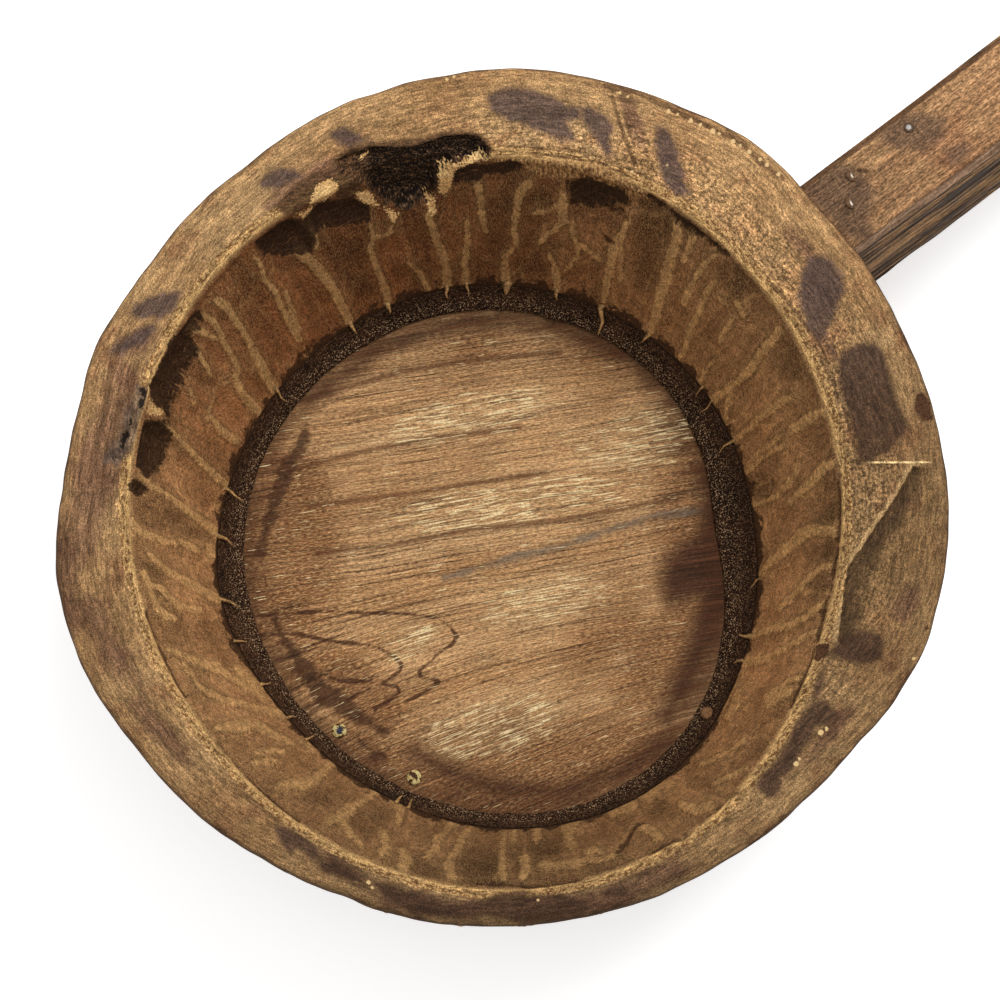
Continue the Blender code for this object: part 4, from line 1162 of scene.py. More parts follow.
def make_board(material):
    """The bottom board, as strips along its grain with the worn relief of its growth lines."""
    strips, along_steps = BOARD_GRID
    angle = np.linspace(0, 2 * math.pi, 1440, endpoint=False)
    reach = SEAT_LINE(angle) - BOARD_GAP
    edge_p, edge_q = reach * np.cos(angle - GRAIN_ANGLE), reach * np.sin(angle - GRAIN_ANGLE)
    q = np.linspace(edge_q.min() + 0.6 * MM, edge_q.max() - 0.6 * MM, strips)

    def edge_at(half):
        order = np.argsort(edge_q[half])
        return np.interp(q, edge_q[half][order], edge_p[half][order])[:, None]

    left, right = edge_at(edge_p <= 0), edge_at(edge_p > 0)
    p = left + (right - left) * np.linspace(0, 1, along_steps)
    q = q[:, None] * np.ones_like(p)
    turn_cos, turn_sin = math.cos(GRAIN_ANGLE), math.sin(GRAIN_ANGLE)
    x, y = p * turn_cos - q * turn_sin, p * turn_sin + q * turn_cos
    px, py = in_photo(x, y, BOARD_TOP)
    to_seal = np.hypot(x, y) / SEAL_LINE(np.arctan2(y, x))
    bent = q + uneven("grain_bend", p * 0.25, q, 0.0)
    lines = uneven("growth_lines", p * 0.02, bent, 0.0) + uneven("growth_bands", p * 0.03, bent, 0.0)
    turned = np.exp(-(((to_seal - TURNED_LINE) / TURNED_WIDTH) ** 2))
    top = BOARD_TOP - TOP_WORN + TOP_RELIEF * lines + uneven("board_sag", p, q, 0.0) - TURNED_DEPTH * turned
    low = BOARD_BOTTOM + UNDERSIDE_WORN + UNDERSIDE_RELIEF * lines
    points = np.stack([np.stack([x, y, z], axis=-1) for z in (np.minimum(top, BOARD_TOP), low)])
    count = p.size
    quads = grid_faces(strips, along_steps, False, False)
    number = np.arange(count).reshape(strips, along_steps)
    border = np.concatenate([number[0, :-1], number[:-1, -1], number[-1, :0:-1], number[:0:-1, 0]])
    onward = np.roll(border, -1)
    skirt = np.stack([border, border + count, onward + count, onward], axis=-1)
    faces = np.concatenate([quads, quads[:, ::-1] + count, skirt])
    mesh = new_piece("bottom_board", points, faces, material, "base_board")

    def above(values, under=FAR_OUT):
        return np.stack([values, np.full_like(values, under)])

    slope = GRAIN_SLOPE[0] + (GRAIN_SLOPE[1] - GRAIN_SLOPE[0]) * smooth(py, *GRAIN_TURN)
    fan = (py + slope * (px - PHOTO_SIZE / 2)) * FRAME_WIDTH / PHOTO_SIZE
    bands = [wide_line(px, py, line, half, half) for line, half in BOARD_BANDS]
    figure, dark_lines, streak = (
        deepest(wide_line(px, py, line) for line in group) for group in (FIGURE, GRAIN_LINES, (BLUE_STREAK,))
    )
    put_fields(
        mesh, points.shape[:-1],
        grain=(p, fan, np.array((0.0, UNDERSIDE_GRAIN))[:, None, None]),
        stain=above(deepest([within_any(px, py, BOARD_DARK)] + bands)), scar=above(within_any(px, py, BOARD_SCARS)),
        brown=marks(px, py, BOARD_BROWN), pale=above(marks(x / MM, y / MM, BOARD_PALE), -1.0),
        streak=above(streak), figure=above(figure), dark_lines=dark_lines, edge=to_seal,
    )


def make_seal(material):
    """The pitch in the corner: a lumpy, granular ring with a ragged upper edge."""
    rows, columns = SEAL_GRID
    angle = np.arange(columns) * 2 * math.pi / columns
    cos, sin = np.cos(angle), np.sin(angle)
    ring = SEAL_FLOW_RADIUS * cos, SEAL_FLOW_RADIUS * sin
    outer, inner = SEAT_LINE(angle) - SEAL_GAP, SEAL_LINE(angle)
    step = np.linspace(0, 1, rows, endpoint=False)[:, None]
    places, across, up = np.array(SEAL_SECTION).T
    across, up = np.interp(step, places, across), np.interp(step, places, up)
    face = smooth(step, *SEAL_FACE)
    grains = uneven("pitch_grains", *ring, step * SEAL_RUN)
    lumps = uneven("pitch_lumps", *ring, step * SEAL_RUN) + PITCH_GRAIN * grains
    radius = np.minimum(inner + (outer - inner) * across - face * (1 - up) * lumps, outer)
    ragged = np.minimum(up * (1 + face * uneven("pitch_edge", *ring, 0.0)), 1.0)
    z = SEAL_BOTTOM + (WALL_FOOT - SEAL_BOTTOM) * ragged + face * PITCH_PIT * np.minimum(grains, 0)
    flow = (radius * cos, radius * sin, np.maximum(z, SEAL_BOTTOM))
    faces = grid_faces(rows, columns, True, True)
    mesh = new_piece("pitch_ring", np.stack(flow, axis=-1), faces, material, "pitch_seal")
    put_fields(mesh, radius.shape, flow=flow, up=up, tone=loop_of(PITCH_TONE)(angle))


def handle_section(at):
    """Corners of the bar's cross section at a share of its length: across and down from its top's middle."""
    wide, tall = (root + (end - root) * at for root, end in (HANDLE_WIDTH, HANDLE_HEIGHT))
    half = wide / 2
    far, near = (half + tall * math.tan(lean) for lean in HANDLE_LEAN)
    broad, slim, low = 4.5 * MM, 2.0 * MM, 3.0 * MM
    return np.array([
        (half - slim, 0.0), (half + 0.4 * MM, slim), (far, tall - low), (far - low, tall),
        (low - near, tall), (-near, tall - low), (-half - 0.8 * MM, broad), (-half + 2.4 * MM, 0.0),
    ])


def wall_front(across, height):
    """How far out the bowl's outer wall stands where a line of the handle meets it."""
    share = np.clip((height - FOOT_HEIGHT) / (RIM_TOP - RIM_ROUND - FOOT_HEIGHT), 0.0, 1.0)
    bulge = np.sin(share * math.pi / 2) ** WALL_BULGE
    angle = np.zeros_like(across)
    for _ in range(4):
        radius = FOOT_LINE(angle) + (RIM_LINE(angle) - FOOT_LINE(angle)) * bulge
        out = np.sqrt(radius**2 - across**2)
        angle = np.arctan2(across, out)
    return out


def make_handle(material):
    """The bar, coped to the wall, with weather grooves along its flanks."""
    at = np.linspace(0, 1, HANDLE_STATIONS)[:, None]
    corners = np.array([handle_section(a) for a in at.flat])
    corners = np.roll(corners, -1, axis=1)
    following = np.roll(corners, -1, axis=1)
    names, across, down = [], [], []
    for side, (name, count) in enumerate(HANDLE_SIDES):
        names += [name] * count
        t = np.arange(count) / count
        for part, axis in ((across, 0), (down, 1)):
            part.append(corners[:, side, axis, None] * (1 - t) + following[:, side, axis, None] * t)
    names = np.array(names)
    across, down = np.concatenate(across, axis=1), np.concatenate(down, axis=1)
    flank, under, arris, low_edge, top = (names == n for n in ("flank", "under", "arris", "low_edge", "top"))
    y, z = HANDLE_MIDDLE_Y + across, HANDLE_TOP - down
    root = wall_front(y[0], z[0]) + HANDLE_GAP
    x = root + (HANDLE_END - root) * at

    # Weather grooves, waves, worn ends, swollen wood round the nails and old holes
    grooves = uneven("grooves", x * 0.035, y * 0.02, z) + uneven("fine_grooves", x * 0.02, 0.0, z)
    groove = np.where(flank, np.clip(-grooves, 0, GROOVE_LIMIT), 0.0)
    inset = HANDLE_WORN - uneven("handle_waves", x, y, z)
    shave = inset - uneven("handle_grain", x * 0.05, y, z)
    round_end = smooth(at, END_START, 1.0) * END_ROUND
    y = y - np.sign(across) * (np.where(flank | arris | low_edge, inset + GROOVE_DEPTH * groove, 0.0) + round_end)
    z = z - np.where(top | arris, shave, 0.0) + np.where(under | low_edge, shave, 0.0)
    z = z - np.where(top, round_end, 0.0) + np.where(under, round_end, 0.0)
    bumps = [
        rise * MM * np.exp(-((np.hypot(x - px * MM, y - py * MM) / SWELL_RADIUS) ** 2)) for px, py, rise in HANDLE_SWELL
    ]
    holes = [np.exp(-((np.hypot(x - px * MM, y - py * MM) / PIT_RADIUS) ** 2)) for px, py in HANDLE_PITS]
    pit = np.where(top, np.maximum.reduce(holes), 0.0)
    z = z + np.where(top, sum(bumps), 0.0) - PIT_DEPTH * pit

    rings = np.stack([x, y, z], axis=-1)
    middle = rings[-1].mean(axis=0)
    caps = np.stack([middle + (rings[-1] - middle) * scale + (sink, 0.0, 0.0) for scale, sink in HANDLE_CAP])
    caps[1:, :, 0] -= np.abs(uneven("end_grain", 0.0, caps[1:, :, 1] + AXIS.y, caps[1:, :, 2] * 0.2))
    ends = np.stack([rings[0].mean(axis=0), caps[-1].mean(axis=0)])
    points = np.concatenate([rings.reshape(-1, 3), caps.reshape(-1, 3), ends])
    count, ring_count = len(names), len(rings) + len(caps)
    faces = grid_faces(ring_count, count, False, True)[:, ::-1].tolist()
    last, centre = (ring_count - 1) * count, ring_count * count
    for i in range(count):
        onward = (i + 1) % count
        faces += [(i, onward, centre), (centre + 1, last + onward, last + i)]
    mesh = new_piece("hewn_handle", points, faces, material, "handle")

    def ended(values, cap=0.0):
        return np.concatenate([np.broadcast_to(values, x.shape).ravel(), np.full(caps[..., 0].size, cap), [0.0, cap]])

    pith = np.hypot(points[:, 1] - HANDLE_PITH[0], points[:, 2] - HANDLE_TOP - HANDLE_PITH[1])
    px, py = in_photo(x, y, HANDLE_TOP)
    from_near = y - y.min(axis=1)[:, None]
    put_fields(
        mesh, len(points),
        grain=tuple(points.T), rings=(pith, 0.1 * points[:, 1], 0.1 * points[:, 2]), end=ended(0.0, 1.0),
        flank=ended(flank | under), groove=ended(groove), pit=ended(pit),
        arris=ended(arris & (across < 0) | low_edge), dark_arris=ended(arris & (across > 0)),
        tone=ended(0.86 + 0.24 * smooth(at, 0.05, 0.35), 1.0),
        stain=ended(np.where(top, within_any(px, py, HANDLE_DARK) / 12, -1.0)),
        ruddy=ended(np.where(top, 1 - smooth(from_near, 6 * MM, 14 * MM), 0.0)),
    )


def rim_wood(look, n):
    """Granular end grain on the rim, with stains, a dished cut, a worn bevel and painted shade on its rounded outer
    edge.
    """
    tone = look.field("tone")
    rim = look.blend(n.cloud, (152, 113, 73), (188, 150, 103))
    rim = look.mix(n.patch.step(0.50, 0.72), rim, (144, 104, 69))
    brown = look.blend(n.ring, (98, 66, 47), (132, 97, 73))
    rim = look.laid(rim, brown, 0.85, "brown", -0.25, 0.6, (n.patch, 0.30), (n.mottle, 0.12))
    coarse = (1 - look.field("rim_share").step(0.25, 1.10)) * look.field("coarse")
    rim = look.mix(coarse, rim, look.grain(rim, (n.lump, 0.60), (n.patch, 0.22)))
    # Painted shade on the rim's rounded outer edge
    rim = look.laid(rim, (80, 54, 36), 0.75, "brink", 0.45, 0.80, (n.patch, 0.18))
    rim = look.laid(rim, (128, 100, 62), 0.3, "dish", 0.05, 0.7, (n.mottle, 0.15))
    rim = look.tint(rim, tone)

    # Pale lip and shade along the dished cut's sharp edge
    side, by_dish = look.ragged("dish_side", (n.mottle, 1.5)), look.field("by_dish")
    lip = side.step(-6.0, -2.0) * (1 - side.step(-0.5, 0.5)) * by_dish
    rim = look.mix(lip * 0.7, rim, (192, 156, 108))
    shade = side.step(-0.6, 1.2) * (1 - side.step(9.0, 26.0)) * by_dish
    rim = look.mix(shade * 0.80, rim, (66, 48, 31))

    # Worn bevel, stains and scores
    bevel_tone = tone * 0.4 + 0.6
    worn_edge = look.ragged("bevel_zone", (n.straw, 0.10), (n.mottle, 0.14))
    granular = look.mix(n.lump.step(0.40, 0.58), (122, 84, 49), (200, 160, 105))
    rim = look.mix(worn_edge.step(-0.04, 0.16) * 0.85, rim, look.tint(granular, bevel_tone))
    rim = look.mix(worn_edge.step(0.60, 0.82) * 0.85, rim, look.tint((208, 166, 108), bevel_tone))
    dark = look.mix(tone.step(0.5, 0.85), (63, 43, 30), (80, 63, 57))
    rim = look.laid(rim, dark, 0.90, "stain", -4.0, 4.0, (n.ring, 2.0), (n.mottle, 2.5), (n.straw, 2.0))
    rim = look.laid(rim, look.tint((84, 58, 37), tone), 0.7, "score", -1.6, 0.2, (n.mottle, 0.8))

    # One straight scratch, level in the photograph
    (start, end), level = SCRATCH
    px, py = (look.node("SeparateXYZ", {0: look.flow("photo")}, axis) for axis in "XY")
    away = look.math("ABSOLUTE", py - level * MM)
    scratch = (1 - away.step(0.5 * MM, 1.3 * MM)) * px.step(start * MM, (start + 14) * MM)
    scratch = scratch * (1 - px.step((end - 8) * MM, end * MM))
    rim = look.mix(scratch * 0.85, rim, (236, 200, 142))

    rim = look.grain(rim, (n.ring, 0.20), (n.mottle, 0.08), (n.straw, 0.34), (n.grit, 0.20), (n.dust, 0.42))
    warts = look.dots(WARTS, n.grit).step(-0.5 * MM, 0.7 * MM)
    return look.mix(warts * 0.85, rim, (226, 190, 134))


def inner_wood(look, n):
    """The gouged inner wall, with pale ridges between the cuts, and painted light and shade round the bowl."""
    tone = look.field("tone")
    inner = look.blend(n.cloud, (108, 76, 48), (144, 107, 71))
    inner = look.mix(look.field("ruddy"), inner, look.blend(n.cloud, (110, 66, 38), (146, 92, 55)))
    facet_edge, facet_tone = look.facets(look.flow("flow", (1.0, 1.0, 0.34)), 62, n.mottle * (8 * MM))
    inner = look.tint(inner, facet_tone.spread(0.84, 1.16))
    inner = look.tint(inner, 1 - look.ragged("hollow", (n.mottle, 4.0)).step(-6.0, 5.0) * 0.42)
    inner = look.mix(look.field("depth").step(0.0, 0.6), look.tint(inner, 0.80), look.tint(inner, 1.10))
    arris = 1 - (facet_edge + n.mottle.spread(-0.03, 0.03)).step(0.0, 0.07)
    inner = look.mix(arris * n.patch.spread(0.0, 0.35), inner, RIDGE_COLOUR)
    # Painted light and shade round the bowl, with some of the wood's own tone, laid on by the tone field
    inner = look.tint(inner, tone)

    # Ridges, crisp on the far wall and smeared on the near one, beside painted shadow lines
    ridge_light_and_tone = tone * 0.40 + 0.50
    ridge = look.tint(RIDGE_COLOUR, ridge_light_and_tone)
    crest, crisp = look.ragged("worn", (n.mottle, 0.8), (n.strokes, 0.6)), look.field("crisp")
    inner = look.mix(crest.step(-8.0, -1.0) * 0.16, inner, ridge)
    # Painted shadow lines along both sides of each ridge
    ridge_shadow_line = crest.step(-5.0, -2.2) * (1 - crest.step(-2.2, -0.9))
    inner = look.tint(inner, 1 - ridge_shadow_line * n.cloud.spread(0.05, 0.45))
    sharp = crest.step(-1.1, 0.3) * (crisp * n.patch.spread(0.74, 1.0))
    smeared = (crest + n.strokes.spread(-2.2, 2.2)).step(-3.6, 2.6)
    smeared = smeared * ((1 - crisp) * n.patch.spread(0.6, 1.0))
    inner = look.mix(sharp + smeared, inner, ridge)

    inner = look.grain(inner, (n.upright, 0.14), (n.mottle, 0.12), (n.strokes, 0.30), (n.pore, 0.18))
    inner = look.flecked(inner, n.speck, 0.50, look.tint((196, 156, 106), ridge_light_and_tone))
    return look.mix(n.pore.step(0.62, 0.68) * 0.5, inner, look.tint((58, 36, 22), tone))


def outer_wood(look, n):
    """The weathered outside, with the adze's facets, checks and a grimy foot."""
    adze = look.field("adze")
    outer = look.blend(n.cloud, (96, 66, 42), (144, 106, 70))
    outer = look.mix((1 - adze.step(0.02, 0.30)) * 0.45, outer, (168, 128, 86))
    outer = look.mix(adze.step(0.55, 1.0) * 0.30, outer, (84, 56, 36))
    outer = look.mix(n.cloud.step(0.52, 0.70) * 0.6, outer, (78, 56, 42))
    foot = 1 - look.ragged("rise", (n.patch, 0.12)).step(0.0, 0.26)
    outer = look.mix(foot * 0.6, outer, (62, 43, 30))
    checks = look.noise("flow", 150, 2, stretch=(1.0, 1.0, 0.05))
    outer = look.mix((1 - checks.step(0.29, 0.33)) * 0.85, outer, (36, 24, 16))
    return look.grain(outer, (n.mottle, 0.14), (n.upright, 0.34), (n.left, 0.16), (n.grit, 0.20), (n.dust, 0.24))


def wounds(look, n, colour):
    """Smeared, torn, frayed, burnt, chipped and rotten places over the wall's colour, the torn ones painted nearly
    black as shade in their recesses, and the burnt ones' crumbs.
    """
    foot = look.ragged("depth", (n.mottle, 0.05)) - look.field("worn").step(-7.0, 0.0) * 0.12
    smear = foot.step(0.93, 0.97) * look.field("inner_zone")
    colour = look.mix(smear * 0.9, colour, look.grain((50, 32, 20), (n.speck, 0.6)))

    tuft = look.noise("photo", 340, 3, 0.7, (1.0, 0.42, 0.0))
    tufts = look.grain(look.mix(tuft.step(0.40, 0.60), (92, 60, 36), (200, 156, 102)), (n.grit, 0.45))
    colour = look.laid(colour, tufts, 0.85, "fringe", -2.0, 3.0, (tuft, 4.0))
    # Torn wood: nearly black as painted shade in its undercut recess, with paler fibres
    torn = look.grain((40, 25, 15), (n.straw, 0.55), (n.speck, 0.5))
    torn = look.mix(n.straw.step(0.62, 0.72), torn, (118, 82, 49))
    colour = look.laid(colour, torn, 0.92, "torn", -2.4, 1.0, (n.upright, 3.0), (n.mottle, 2.5))
    split = look.grain((52, 33, 20), (n.speck, 0.4))
    colour = look.laid(colour, split, 0.8, "seam", -1.2, 0.8, (n.mottle, 1.4))

    # The knot: frayed brown wood round it and at its shallow end, and charred crumbs in its hollow, with painted glints
    # on the crumbs
    crumb = look.noise("photo", 560, 1, stretch=(1.0, 1.0, 0.0))
    fibre = look.noise("photo", 420, 3, 0.75, (0.30, 0.90, 0.0))
    frayed = look.mix(fibre.step(0.40, 0.60), (42, 28, 18), (104, 74, 48))
    fray = look.grain(frayed, (crumb, 0.45))
    colour = look.laid(colour, fray, 0.9, "frayed", -3.5, 1.0, (fibre, 2.5), (n.mottle, 2.0))
    burn = look.ragged("char", (fibre, 2.5), (n.mottle, 3.0)).step(-1.5, 2.0)
    charcoal = look.mix(fibre.step(0.46, 0.70), (27, 18, 12), (104, 77, 54))
    charcoal = look.grain(charcoal, (crumb, 0.80))
    # Painted glints: pale specks where the charred crumbs would catch the light
    charcoal = look.mix(crumb.step(0.60, 0.68) * 0.42, charcoal, (150, 118, 88))
    shallow_end = look.grain(frayed, (crumb, 0.6))
    charcoal = look.mix(look.field("shallow").step(KNOT_SHALLOW, 1.0), shallow_end, charcoal)
    colour = look.mix(burn, colour, charcoal)

    notch = look.grain((76, 51, 33), (n.grit, 0.5))
    colour = look.laid(colour, notch, 1.0, "notch", -0.5, 1.5, (n.mottle, 1.5))
    chip = look.blend(n.mottle, (188, 140, 86), (240, 202, 140))
    chip = look.grain(chip, (n.straw, 0.2), (crumb, 0.34))
    colour = look.laid(colour, chip, 1.0, "chip", -0.8, 0.8, (n.straw, 1.6), (crumb, 1.6))
    rotten = look.mix(n.mottle.step(0.42, 0.60), (72, 59, 51), (112, 93, 78))
    rotten = look.grain(rotten, (n.straw, 0.3), (n.grit, 0.4))
    colour = look.laid(colour, rotten, 0.80, "rotten", -4.0, 3.0, (n.mottle, 4.0), (n.lump, 1.5))
    hole = look.grain((26, 19, 15), (n.grit, 0.5))
    colour = look.laid(colour, hole, 0.95, "crack", -0.7, 0.7, (n.mottle, 2.8), (n.lump, 2.2))
    return colour, crumb * burn


def wall_look():
    """Hewn hardwood: granular end grain on the rim, gouged inner wall and weathered outside."""
    look = Look("hewn_wall")
    tall, leaning = (1.0, 1.0, 0.28), (1.0, 1.0, 0.40)
    n = SimpleNamespace(
        dust=look.noise("flow", 2400, 1),
        grit=look.noise("flow", 1150, 2, 0.8),
        lump=look.noise("flow", 760, 2, 0.7),
        mottle=look.noise("flow", 210, 3, 0.65),
        patch=look.noise("flow", 75, 3),
        cloud=look.noise("flow", 26, 4),
        straw=look.noise("flow", 1300, 2, 0.7, (0.2, 0.2, 1.0)),
        ring=look.noise("flow", 420, 3, stretch=(0.08, 0.08, 1.0)),
        speck=look.noise("flow", 2500, 1, stretch=tall),
        pore=look.noise("flow", 900, 2, stretch=tall),
        upright=look.noise("flow", 620, 3, stretch=(1.0, 1.0, 0.07)),
        left=look.noise("lean_left", 760, 2, 0.7, leaning),
    )
    right = look.noise("lean_right", 760, 2, 0.7, leaning)
    turn = n.patch.step(0.45, 0.55)
    n.strokes = n.left * (1 - turn) + right * turn
    colour = look.mix(look.field("rim_zone"), outer_wood(look, n), rim_wood(look, n))
    colour = look.mix(look.field("inner_zone"), colour, inner_wood(look, n))
    colour, burnt = wounds(look, n, colour)
    height = n.straw * 0.4 + n.grit * 0.5 + n.pore * 0.4 + n.mottle * 0.6 + burnt * 1.2
    return look.finish(colour, n.grit.spread(0.66, 0.86), height, 0.5 * MM)


def board_look():
    """A dry sawn board: coarse growth lines, pale mineral streaks, dark stains with painted shadow of the walls,
    painted shade round its edge and an arched figure.
    """
    look = Look("sawn_board")
    drift = look.noise("grain", 26, 2, 0.5, (0.25, 1.0, 1.0))
    bent = look.vector("ADD", look.flow("grain"), look.node("CombineXYZ", {"Y": drift * (9 * MM)}))

    def grained(stretch, scale, detail, roughness=0.6):
        return look.noise(bent, scale, detail, roughness, (stretch, 1.0, 1.0))

    broad = grained(0.05, 75, 2)
    lines = grained(0.016, 420, 3, 0.65)
    thin = grained(0.016, 1000, 2, 0.7)
    fine = grained(0.035, 1500, 2, 0.75)
    dashes = grained(0.050, 1550, 2, 0.65)
    dust = grained(0.190, 2600, 1)
    cloud = look.noise("grain", 22, 3, 0.55)
    patch = look.noise("grain", 110, 3)
    grit = look.noise("grain", 1150, 2, 0.8, (1.0, 0.8, 1.0))

    colour = look.blend(broad, (167, 123, 80), (190, 151, 107))
    colour = look.mix(cloud.step(0.48, 0.72), colour, (164, 120, 78))
    colour = look.laid(colour, (120, 79, 47), 0.82, "brown", -0.35, 0.7, (cloud, 0.25), (lines, 0.25))
    rows = 1 - (lines + broad.spread(-0.12, 0.12)).step(0.33, 0.40)
    colour = look.mix(rows * 0.30, colour, (92, 54, 30))
    hair = 1 - (thin + patch.spread(-0.05, 0.05)).step(0.37, 0.40)
    colour = look.mix(hair * 0.62, colour, (84, 49, 28))
    pale = look.ragged("pale", (cloud, 0.3)).step(-0.45, 0.5)
    colour = look.mix(pale * 0.12, colour, (206, 178, 132))
    colour = look.flecked(colour, dust, 0.50, (222, 186, 132))
    colour = look.laid(colour, (78, 44, 25), 0.72, "dark_lines", -3.6, -0.8, (fine, 3.0), (thin, 2.0))
    colour = look.laid(colour, (92, 87, 78), 0.70, "streak", -6.0, 0.0, (fine, 3.0), (thin, 4.0), (patch, 2.5))
    # Dark stain with painted shadow of the walls on the board's right side and along its far edge
    stain = look.ragged("stain", (lines, 5.0), (thin, 3.0), (cloud, 4.0)).step(-20.0, 9.0)
    colour = look.mix(stain * 0.92, colour, look.blend(lines, (40, 23, 15), (74, 45, 30)))
    scar = look.blend(lines, (44, 27, 18), (76, 49, 33))
    colour = look.laid(colour, scar, 0.82, "scar", -4.5, 2.0, (lines, 4.0), (fine, 2.5), (patch, 2.5))
    # Painted shade in the corner, darkening the board towards its edge by the seal all round
    colour = look.laid(colour, (74, 44, 26), 0.68, "edge", 0.88, 1.0, (lines, 0.05), (patch, 0.04))
    colour = look.laid(colour, (66, 38, 24), 0.88, "figure", -2.6, -0.8, (patch, 1.4), (grit, 0.6))
    colour = look.grain(colour, (lines, 0.06), (thin, 0.22), (fine, 0.28), (grit, 0.20))
    cream = (dashes + (pale * 0.11 + patch.spread(-0.04, 0.04))).step(0.66, 0.69) * (1 - stain.step(0.0, 0.4))
    colour = look.mix(cream * 0.85, colour, look.grain((236, 214, 164), (grit, 0.25)))
    height = lines * 0.8 + fine * 0.4 + grit * 0.3
    return look.finish(colour, fine.spread(0.62, 0.80), height, 0.5 * MM)


def pitch_look():
    """Old pitch: nearly black above, with brown grit that thickens towards the board."""
    look = Look("old_pitch")
    dust = look.noise("flow", 1700, 1)
    grit = look.noise("flow", 1100, 2, 0.8)
    coarse = look.noise("flow", 420, 2)
    colour = look.blend(look.noise("flow", 60, 3), (34, 21, 12), (60, 39, 25))
    colour = look.tint(colour, look.field("tone"))
    colour = look.grain(colour, (coarse, 0.3), (grit, 0.5), (dust, 0.7))
    low = 1 - look.field("up").step(0.25, 0.8)
    colour = look.mix(dust.step(0.60, 0.65) * (low * 0.55 + 0.22), colour, (196, 164, 126))
    return look.finish(colour, grit.spread(0.68, 0.92), grit + coarse, 0.6 * MM)


def handle_look():
    """Straight-grained bar: tan top with grey-brown stains, dark grooved flanks and a worn grey arris."""
    look = Look("hewn_handle")
    broad = look.noise("grain", 150, 2, stretch=(0.05, 1.0, 0.6))
    lines = look.noise("grain", 760, 2, 0.7, (0.03, 1.0, 1.0))
    fibre = look.noise("grain", 1300, 2, 0.75, (0.10, 1.0, 1.0))
    dust = look.noise("grain", 2300, 1, stretch=(0.35, 1.0, 0.5))
    hatch = look.noise("grain", 1300, 2, 0.7, (1.0, 0.3, 0.3))
    weather = look.noise("grain", 230, 3, 0.85, (0.05, 1.0, 1.0))
    cloud = look.noise("grain", 45, 3, stretch=(0.4, 1.0, 1.0))

    top = look.blend(broad, (124, 88, 59), (166, 127, 88))
    top = look.mix(cloud.step(0.50, 0.70) * 0.8, top, (130, 86, 58))
    top = look.mix(look.field("ruddy") * lines.spread(0.45, 0.95), top, (124, 78, 50))
    top = look.laid(top, (94, 72, 56), 0.78, "stain", -0.35, 0.75, (hatch, 0.25), (cloud, 0.35), (lines, 0.2))
    top = look.tint(top, look.field("tone"))
    top = look.grain(top, (lines, 0.22), (fibre, 0.30), (hatch, 0.18), (dust, 0.46))
    flank = look.blend(broad, (112, 79, 50), (158, 120, 80))
    flank = look.mix((1 - weather.step(0.47, 0.52)) * 0.90, flank, (28, 18, 11))
    flank = look.laid(flank, (30, 19, 11), 0.8, "groove", 0.25, 0.80)
    flank = look.grain(flank, (lines, 0.30), (fibre, 0.35), (dust, 0.3))
    colour = look.mix(look.field("flank"), top, flank)
    grey = look.grain((150, 121, 98), (weather, 0.30), (lines, 0.40), (fibre, 0.30), (dust, 0.3))
    colour = look.mix(look.field("arris") * lines.spread(0.5, 1.0), colour, grey)
    colour = look.mix(look.field("dark_arris") * 0.75, colour, look.grain((70, 46, 31), (fibre, 0.4)))
    end = look.blend(look.noise("rings", 420, 3), (84, 57, 37), (150, 112, 74))
    shakes = look.noise("grain", 160, 2, stretch=(0.0, 1.0, 0.12))
    end = look.mix((1 - shakes.step(0.30, 0.35)) * 0.8, end, (40, 27, 18))
    colour = look.mix(look.field("end"), colour, look.grain(end, (lines, 0.35), (fibre, 0.30)))
    colour = look.laid(colour, (56, 37, 24), 0.85, "pit", 0.10, 0.7)
    return look.finish(colour, fibre.spread(0.6, 0.8), lines + fibre * 0.5, 0.35 * MM)


def start_nail(name, scale, detail, roughness):
    """A look for a nail, with its places and a noise over them."""
    look = Look(name)
    place = look.node("NewGeometry", {}, "Position")
    return look, place, look.noise(place, scale, detail, roughness)


def head_of(name):
    """Middle of the top of a node's box."""
    low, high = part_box(name)
    return (low.x + high.x) / 2, (low.y + high.y) / 2, high.z


def nail_look(name):
    """Worn iron with a hammered face, bright in the middle and rusty round its edge."""
    look, place, dents = start_nail("worn_" + name, 1100, 2, 0.6)
    reach = look.vector("DISTANCE", place, head_of(name), "Value") + dents.spread(-0.5 * MM, 0.5 * MM)
    iron = look.blend(dents, (120, 112, 104), (214, 210, 202))
    rust = look.grain((82, 64, 50), (dents, 0.4))
    colour = look.mix(reach.step(0.8 * MM, 1.3 * MM), iron, rust)
    return look.finish(colour, dents.spread(0.45, 0.70), dents, 0.3 * MM)


def crusted_nail_look(name, core, bare):
    """A blackened nail head with a bare core, under a broken cream crust."""
    look, place, grit = start_nail("crusted_" + name, 900, 2, 0.6)
    reach = look.vector("DISTANCE", place, head_of(name), "Value") + grit.spread(-0.7 * MM, 0.7 * MM)
    iron, crust = look.blend(grit, (26, 28, 38), (70, 72, 88)), look.blend(grit, (170, 140, 76), (226, 212, 150))
    colour = look.mix(reach.step(core - 0.2 * MM, core + 0.2 * MM), iron, crust)
    worn = look.noise(place, 420, 2, 0.5).step(0.58 - bare, 0.66 - bare) * reach.step(core, core + 0.4 * MM)
    colour = look.mix(worn, colour, (72, 46, 28))
    return look.finish(colour, grit.spread(0.5, 0.8), grit, 0.3 * MM)


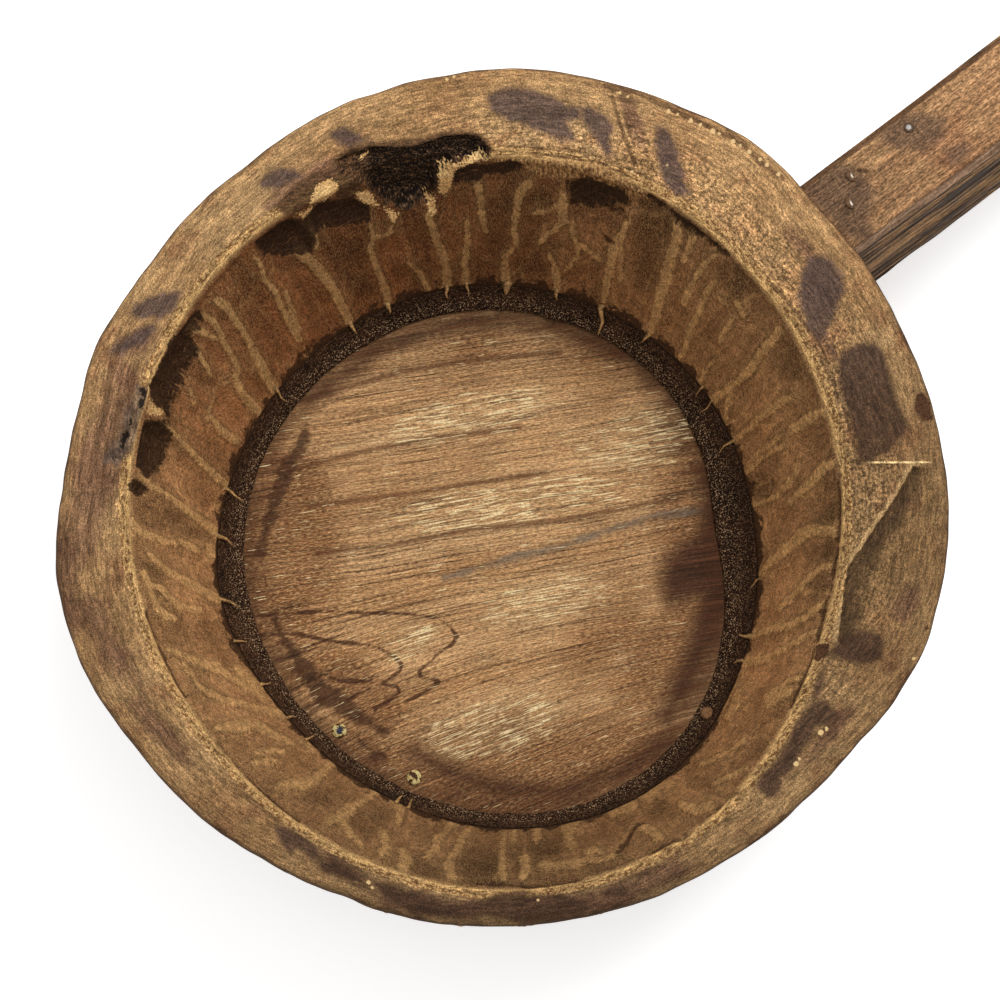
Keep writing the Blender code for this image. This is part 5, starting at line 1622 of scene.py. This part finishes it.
def toe_nail_look(name):
    """A slanted nail, brown with dirt but for a painted glint, a bright sliver laid out along the view, in the middle
    of its head.
    """
    look, place, grit = start_nail("glinting_dirty_" + name, 800, 3, 0.7)
    _, middle_y, top = head_of(name)
    offset = look.vector("SUBTRACT", place, (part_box(name)[1].x - GLINT_INSET, middle_y, top))
    across, up = (
        look.vector("DOT_PRODUCT", offset, tuple(axis * squeeze), "Value")
        for axis, squeeze in zip(view_axes(), GLINT_SQUEEZE)
    )
    reach = look.math("SQRT", across * across + up * up) + grit.spread(-0.4 * MM, 0.4 * MM)
    dirt = look.grain((98, 73, 53), (grit, 0.40))
    # Painted glint: a bright sliver in the head's middle, squeezed along the view's up direction
    colour = look.mix(1 - reach.step(0.35 * MM, 0.75 * MM), dirt, (236, 228, 208))
    return look.finish(colour, grit.spread(0.5, 0.7), grit, 0.3 * MM)


def peg_look():
    """Pale end grain."""
    look = Look("pale_peg")
    grain = look.noise(look.node("TexCoord", {}, "Object"), 1400, 3)
    colour = look.blend(grain, (92, 63, 41), (140, 104, 70))
    return look.finish(colour, grain.spread(0.7, 0.9), grain, 0.2 * MM)


def facing(name, data, place, target):
    """An object in the scene that looks from its place at a target."""
    item = bpy.data.objects.new(name, data)
    item.location = place
    item.rotation_mode = "QUATERNION"
    item.rotation_quaternion = (target - place).to_track_quat("-Z", "Y")
    bpy.context.scene.collection.objects.link(item)
    return item


def make_camera():
    """The camera, at the photograph's viewing angle."""
    data = bpy.data.cameras.new("camera")
    data.sensor_width = SENSOR
    data.lens = SENSOR * CAMERA_DISTANCE / FRAME_WIDTH
    place = CAMERA_TARGET + Vector(view_axes()[2]) * CAMERA_DISTANCE
    bpy.context.scene.camera = facing("camera", data, place, CAMERA_TARGET)


def in_view(right, up, height):
    """A place given by how far right and up it lies in the photograph's view, and its height."""
    across = view_axes()[0]
    away = np.array((-across[1], across[0], 0.0))
    return AXIS + Vector(across * right + away * up) + Vector((0.0, 0.0, height))


def make_stage():
    """A white floor, a soft key light from the far right, a fill from overhead and a white surround."""
    white = (1.0, 1.0, 1.0, 1.0)
    mesh = bpy.data.meshes.new("floor")
    corners = [(x * FLOOR_HALF, y * FLOOR_HALF, 0) for x, y in ((-1, -1), (1, -1), (1, 1), (-1, 1))]
    mesh.from_pydata(corners, [], [(0, 1, 2, 3)])
    floor = bpy.data.objects.new("floor", mesh)
    floor.location.z = -FLOOR_DROP
    bpy.context.scene.collection.objects.link(floor)
    look = Look("floor_white")
    look.put(look.shader, {
        "Base Color": (FLOOR_TONE, FLOOR_TONE, FLOOR_TONE, 1.0), "Roughness": 1.0, "Specular IOR Level": 0.0,
        "Emission Color": white, "Emission Strength": look.seen_directly() * FLOOR_LIFT,
    })
    mesh.materials.append(look.owner)

    for name, (place, size, power) in LAMPS.items():
        data = bpy.data.lights.new(name, "AREA")
        data.size, data.energy = size, power
        facing(name, data, in_view(*place), in_view(*LAMP_TARGET))

    world = Look("studio", bpy.data.worlds, "Background")
    strength = world.ranged(world.seen_directly(), (0.0, 1.0), (WORLD_LIGHT, 1.0))
    world.put(world.shader, {"Color": white, "Strength": strength})
    bpy.context.scene.world = world.owner


def main():
    for old in list(bpy.data.objects):
        if old.type in ("CAMERA", "LIGHT") or (old.type == "MESH" and old.name == "Cube"):
            bpy.data.objects.remove(old)
    make_camera()
    make_stage()
    wall = wall_look()
    make_body(wall)
    make_splinters(wall)
    make_board(board_look())
    make_seal(pitch_look())
    make_handle(handle_look())
    looks = {name: toe_nail_look(name) for name in ("toe_nail_left", "toe_nail_right")}
    looks |= {name: crusted_nail_look(name, *crust) for name, crust in CRUSTED_NAILS.items()}
    looks |= {"handle_nail": nail_look("handle_nail"), "base_peg": peg_look()}
    for name, look in looks.items():
        frame["nodes"][name].data.materials.clear()
        frame["nodes"][name].data.materials.append(look)
    bpy.context.scene.view_settings.view_transform = "Standard"


main()
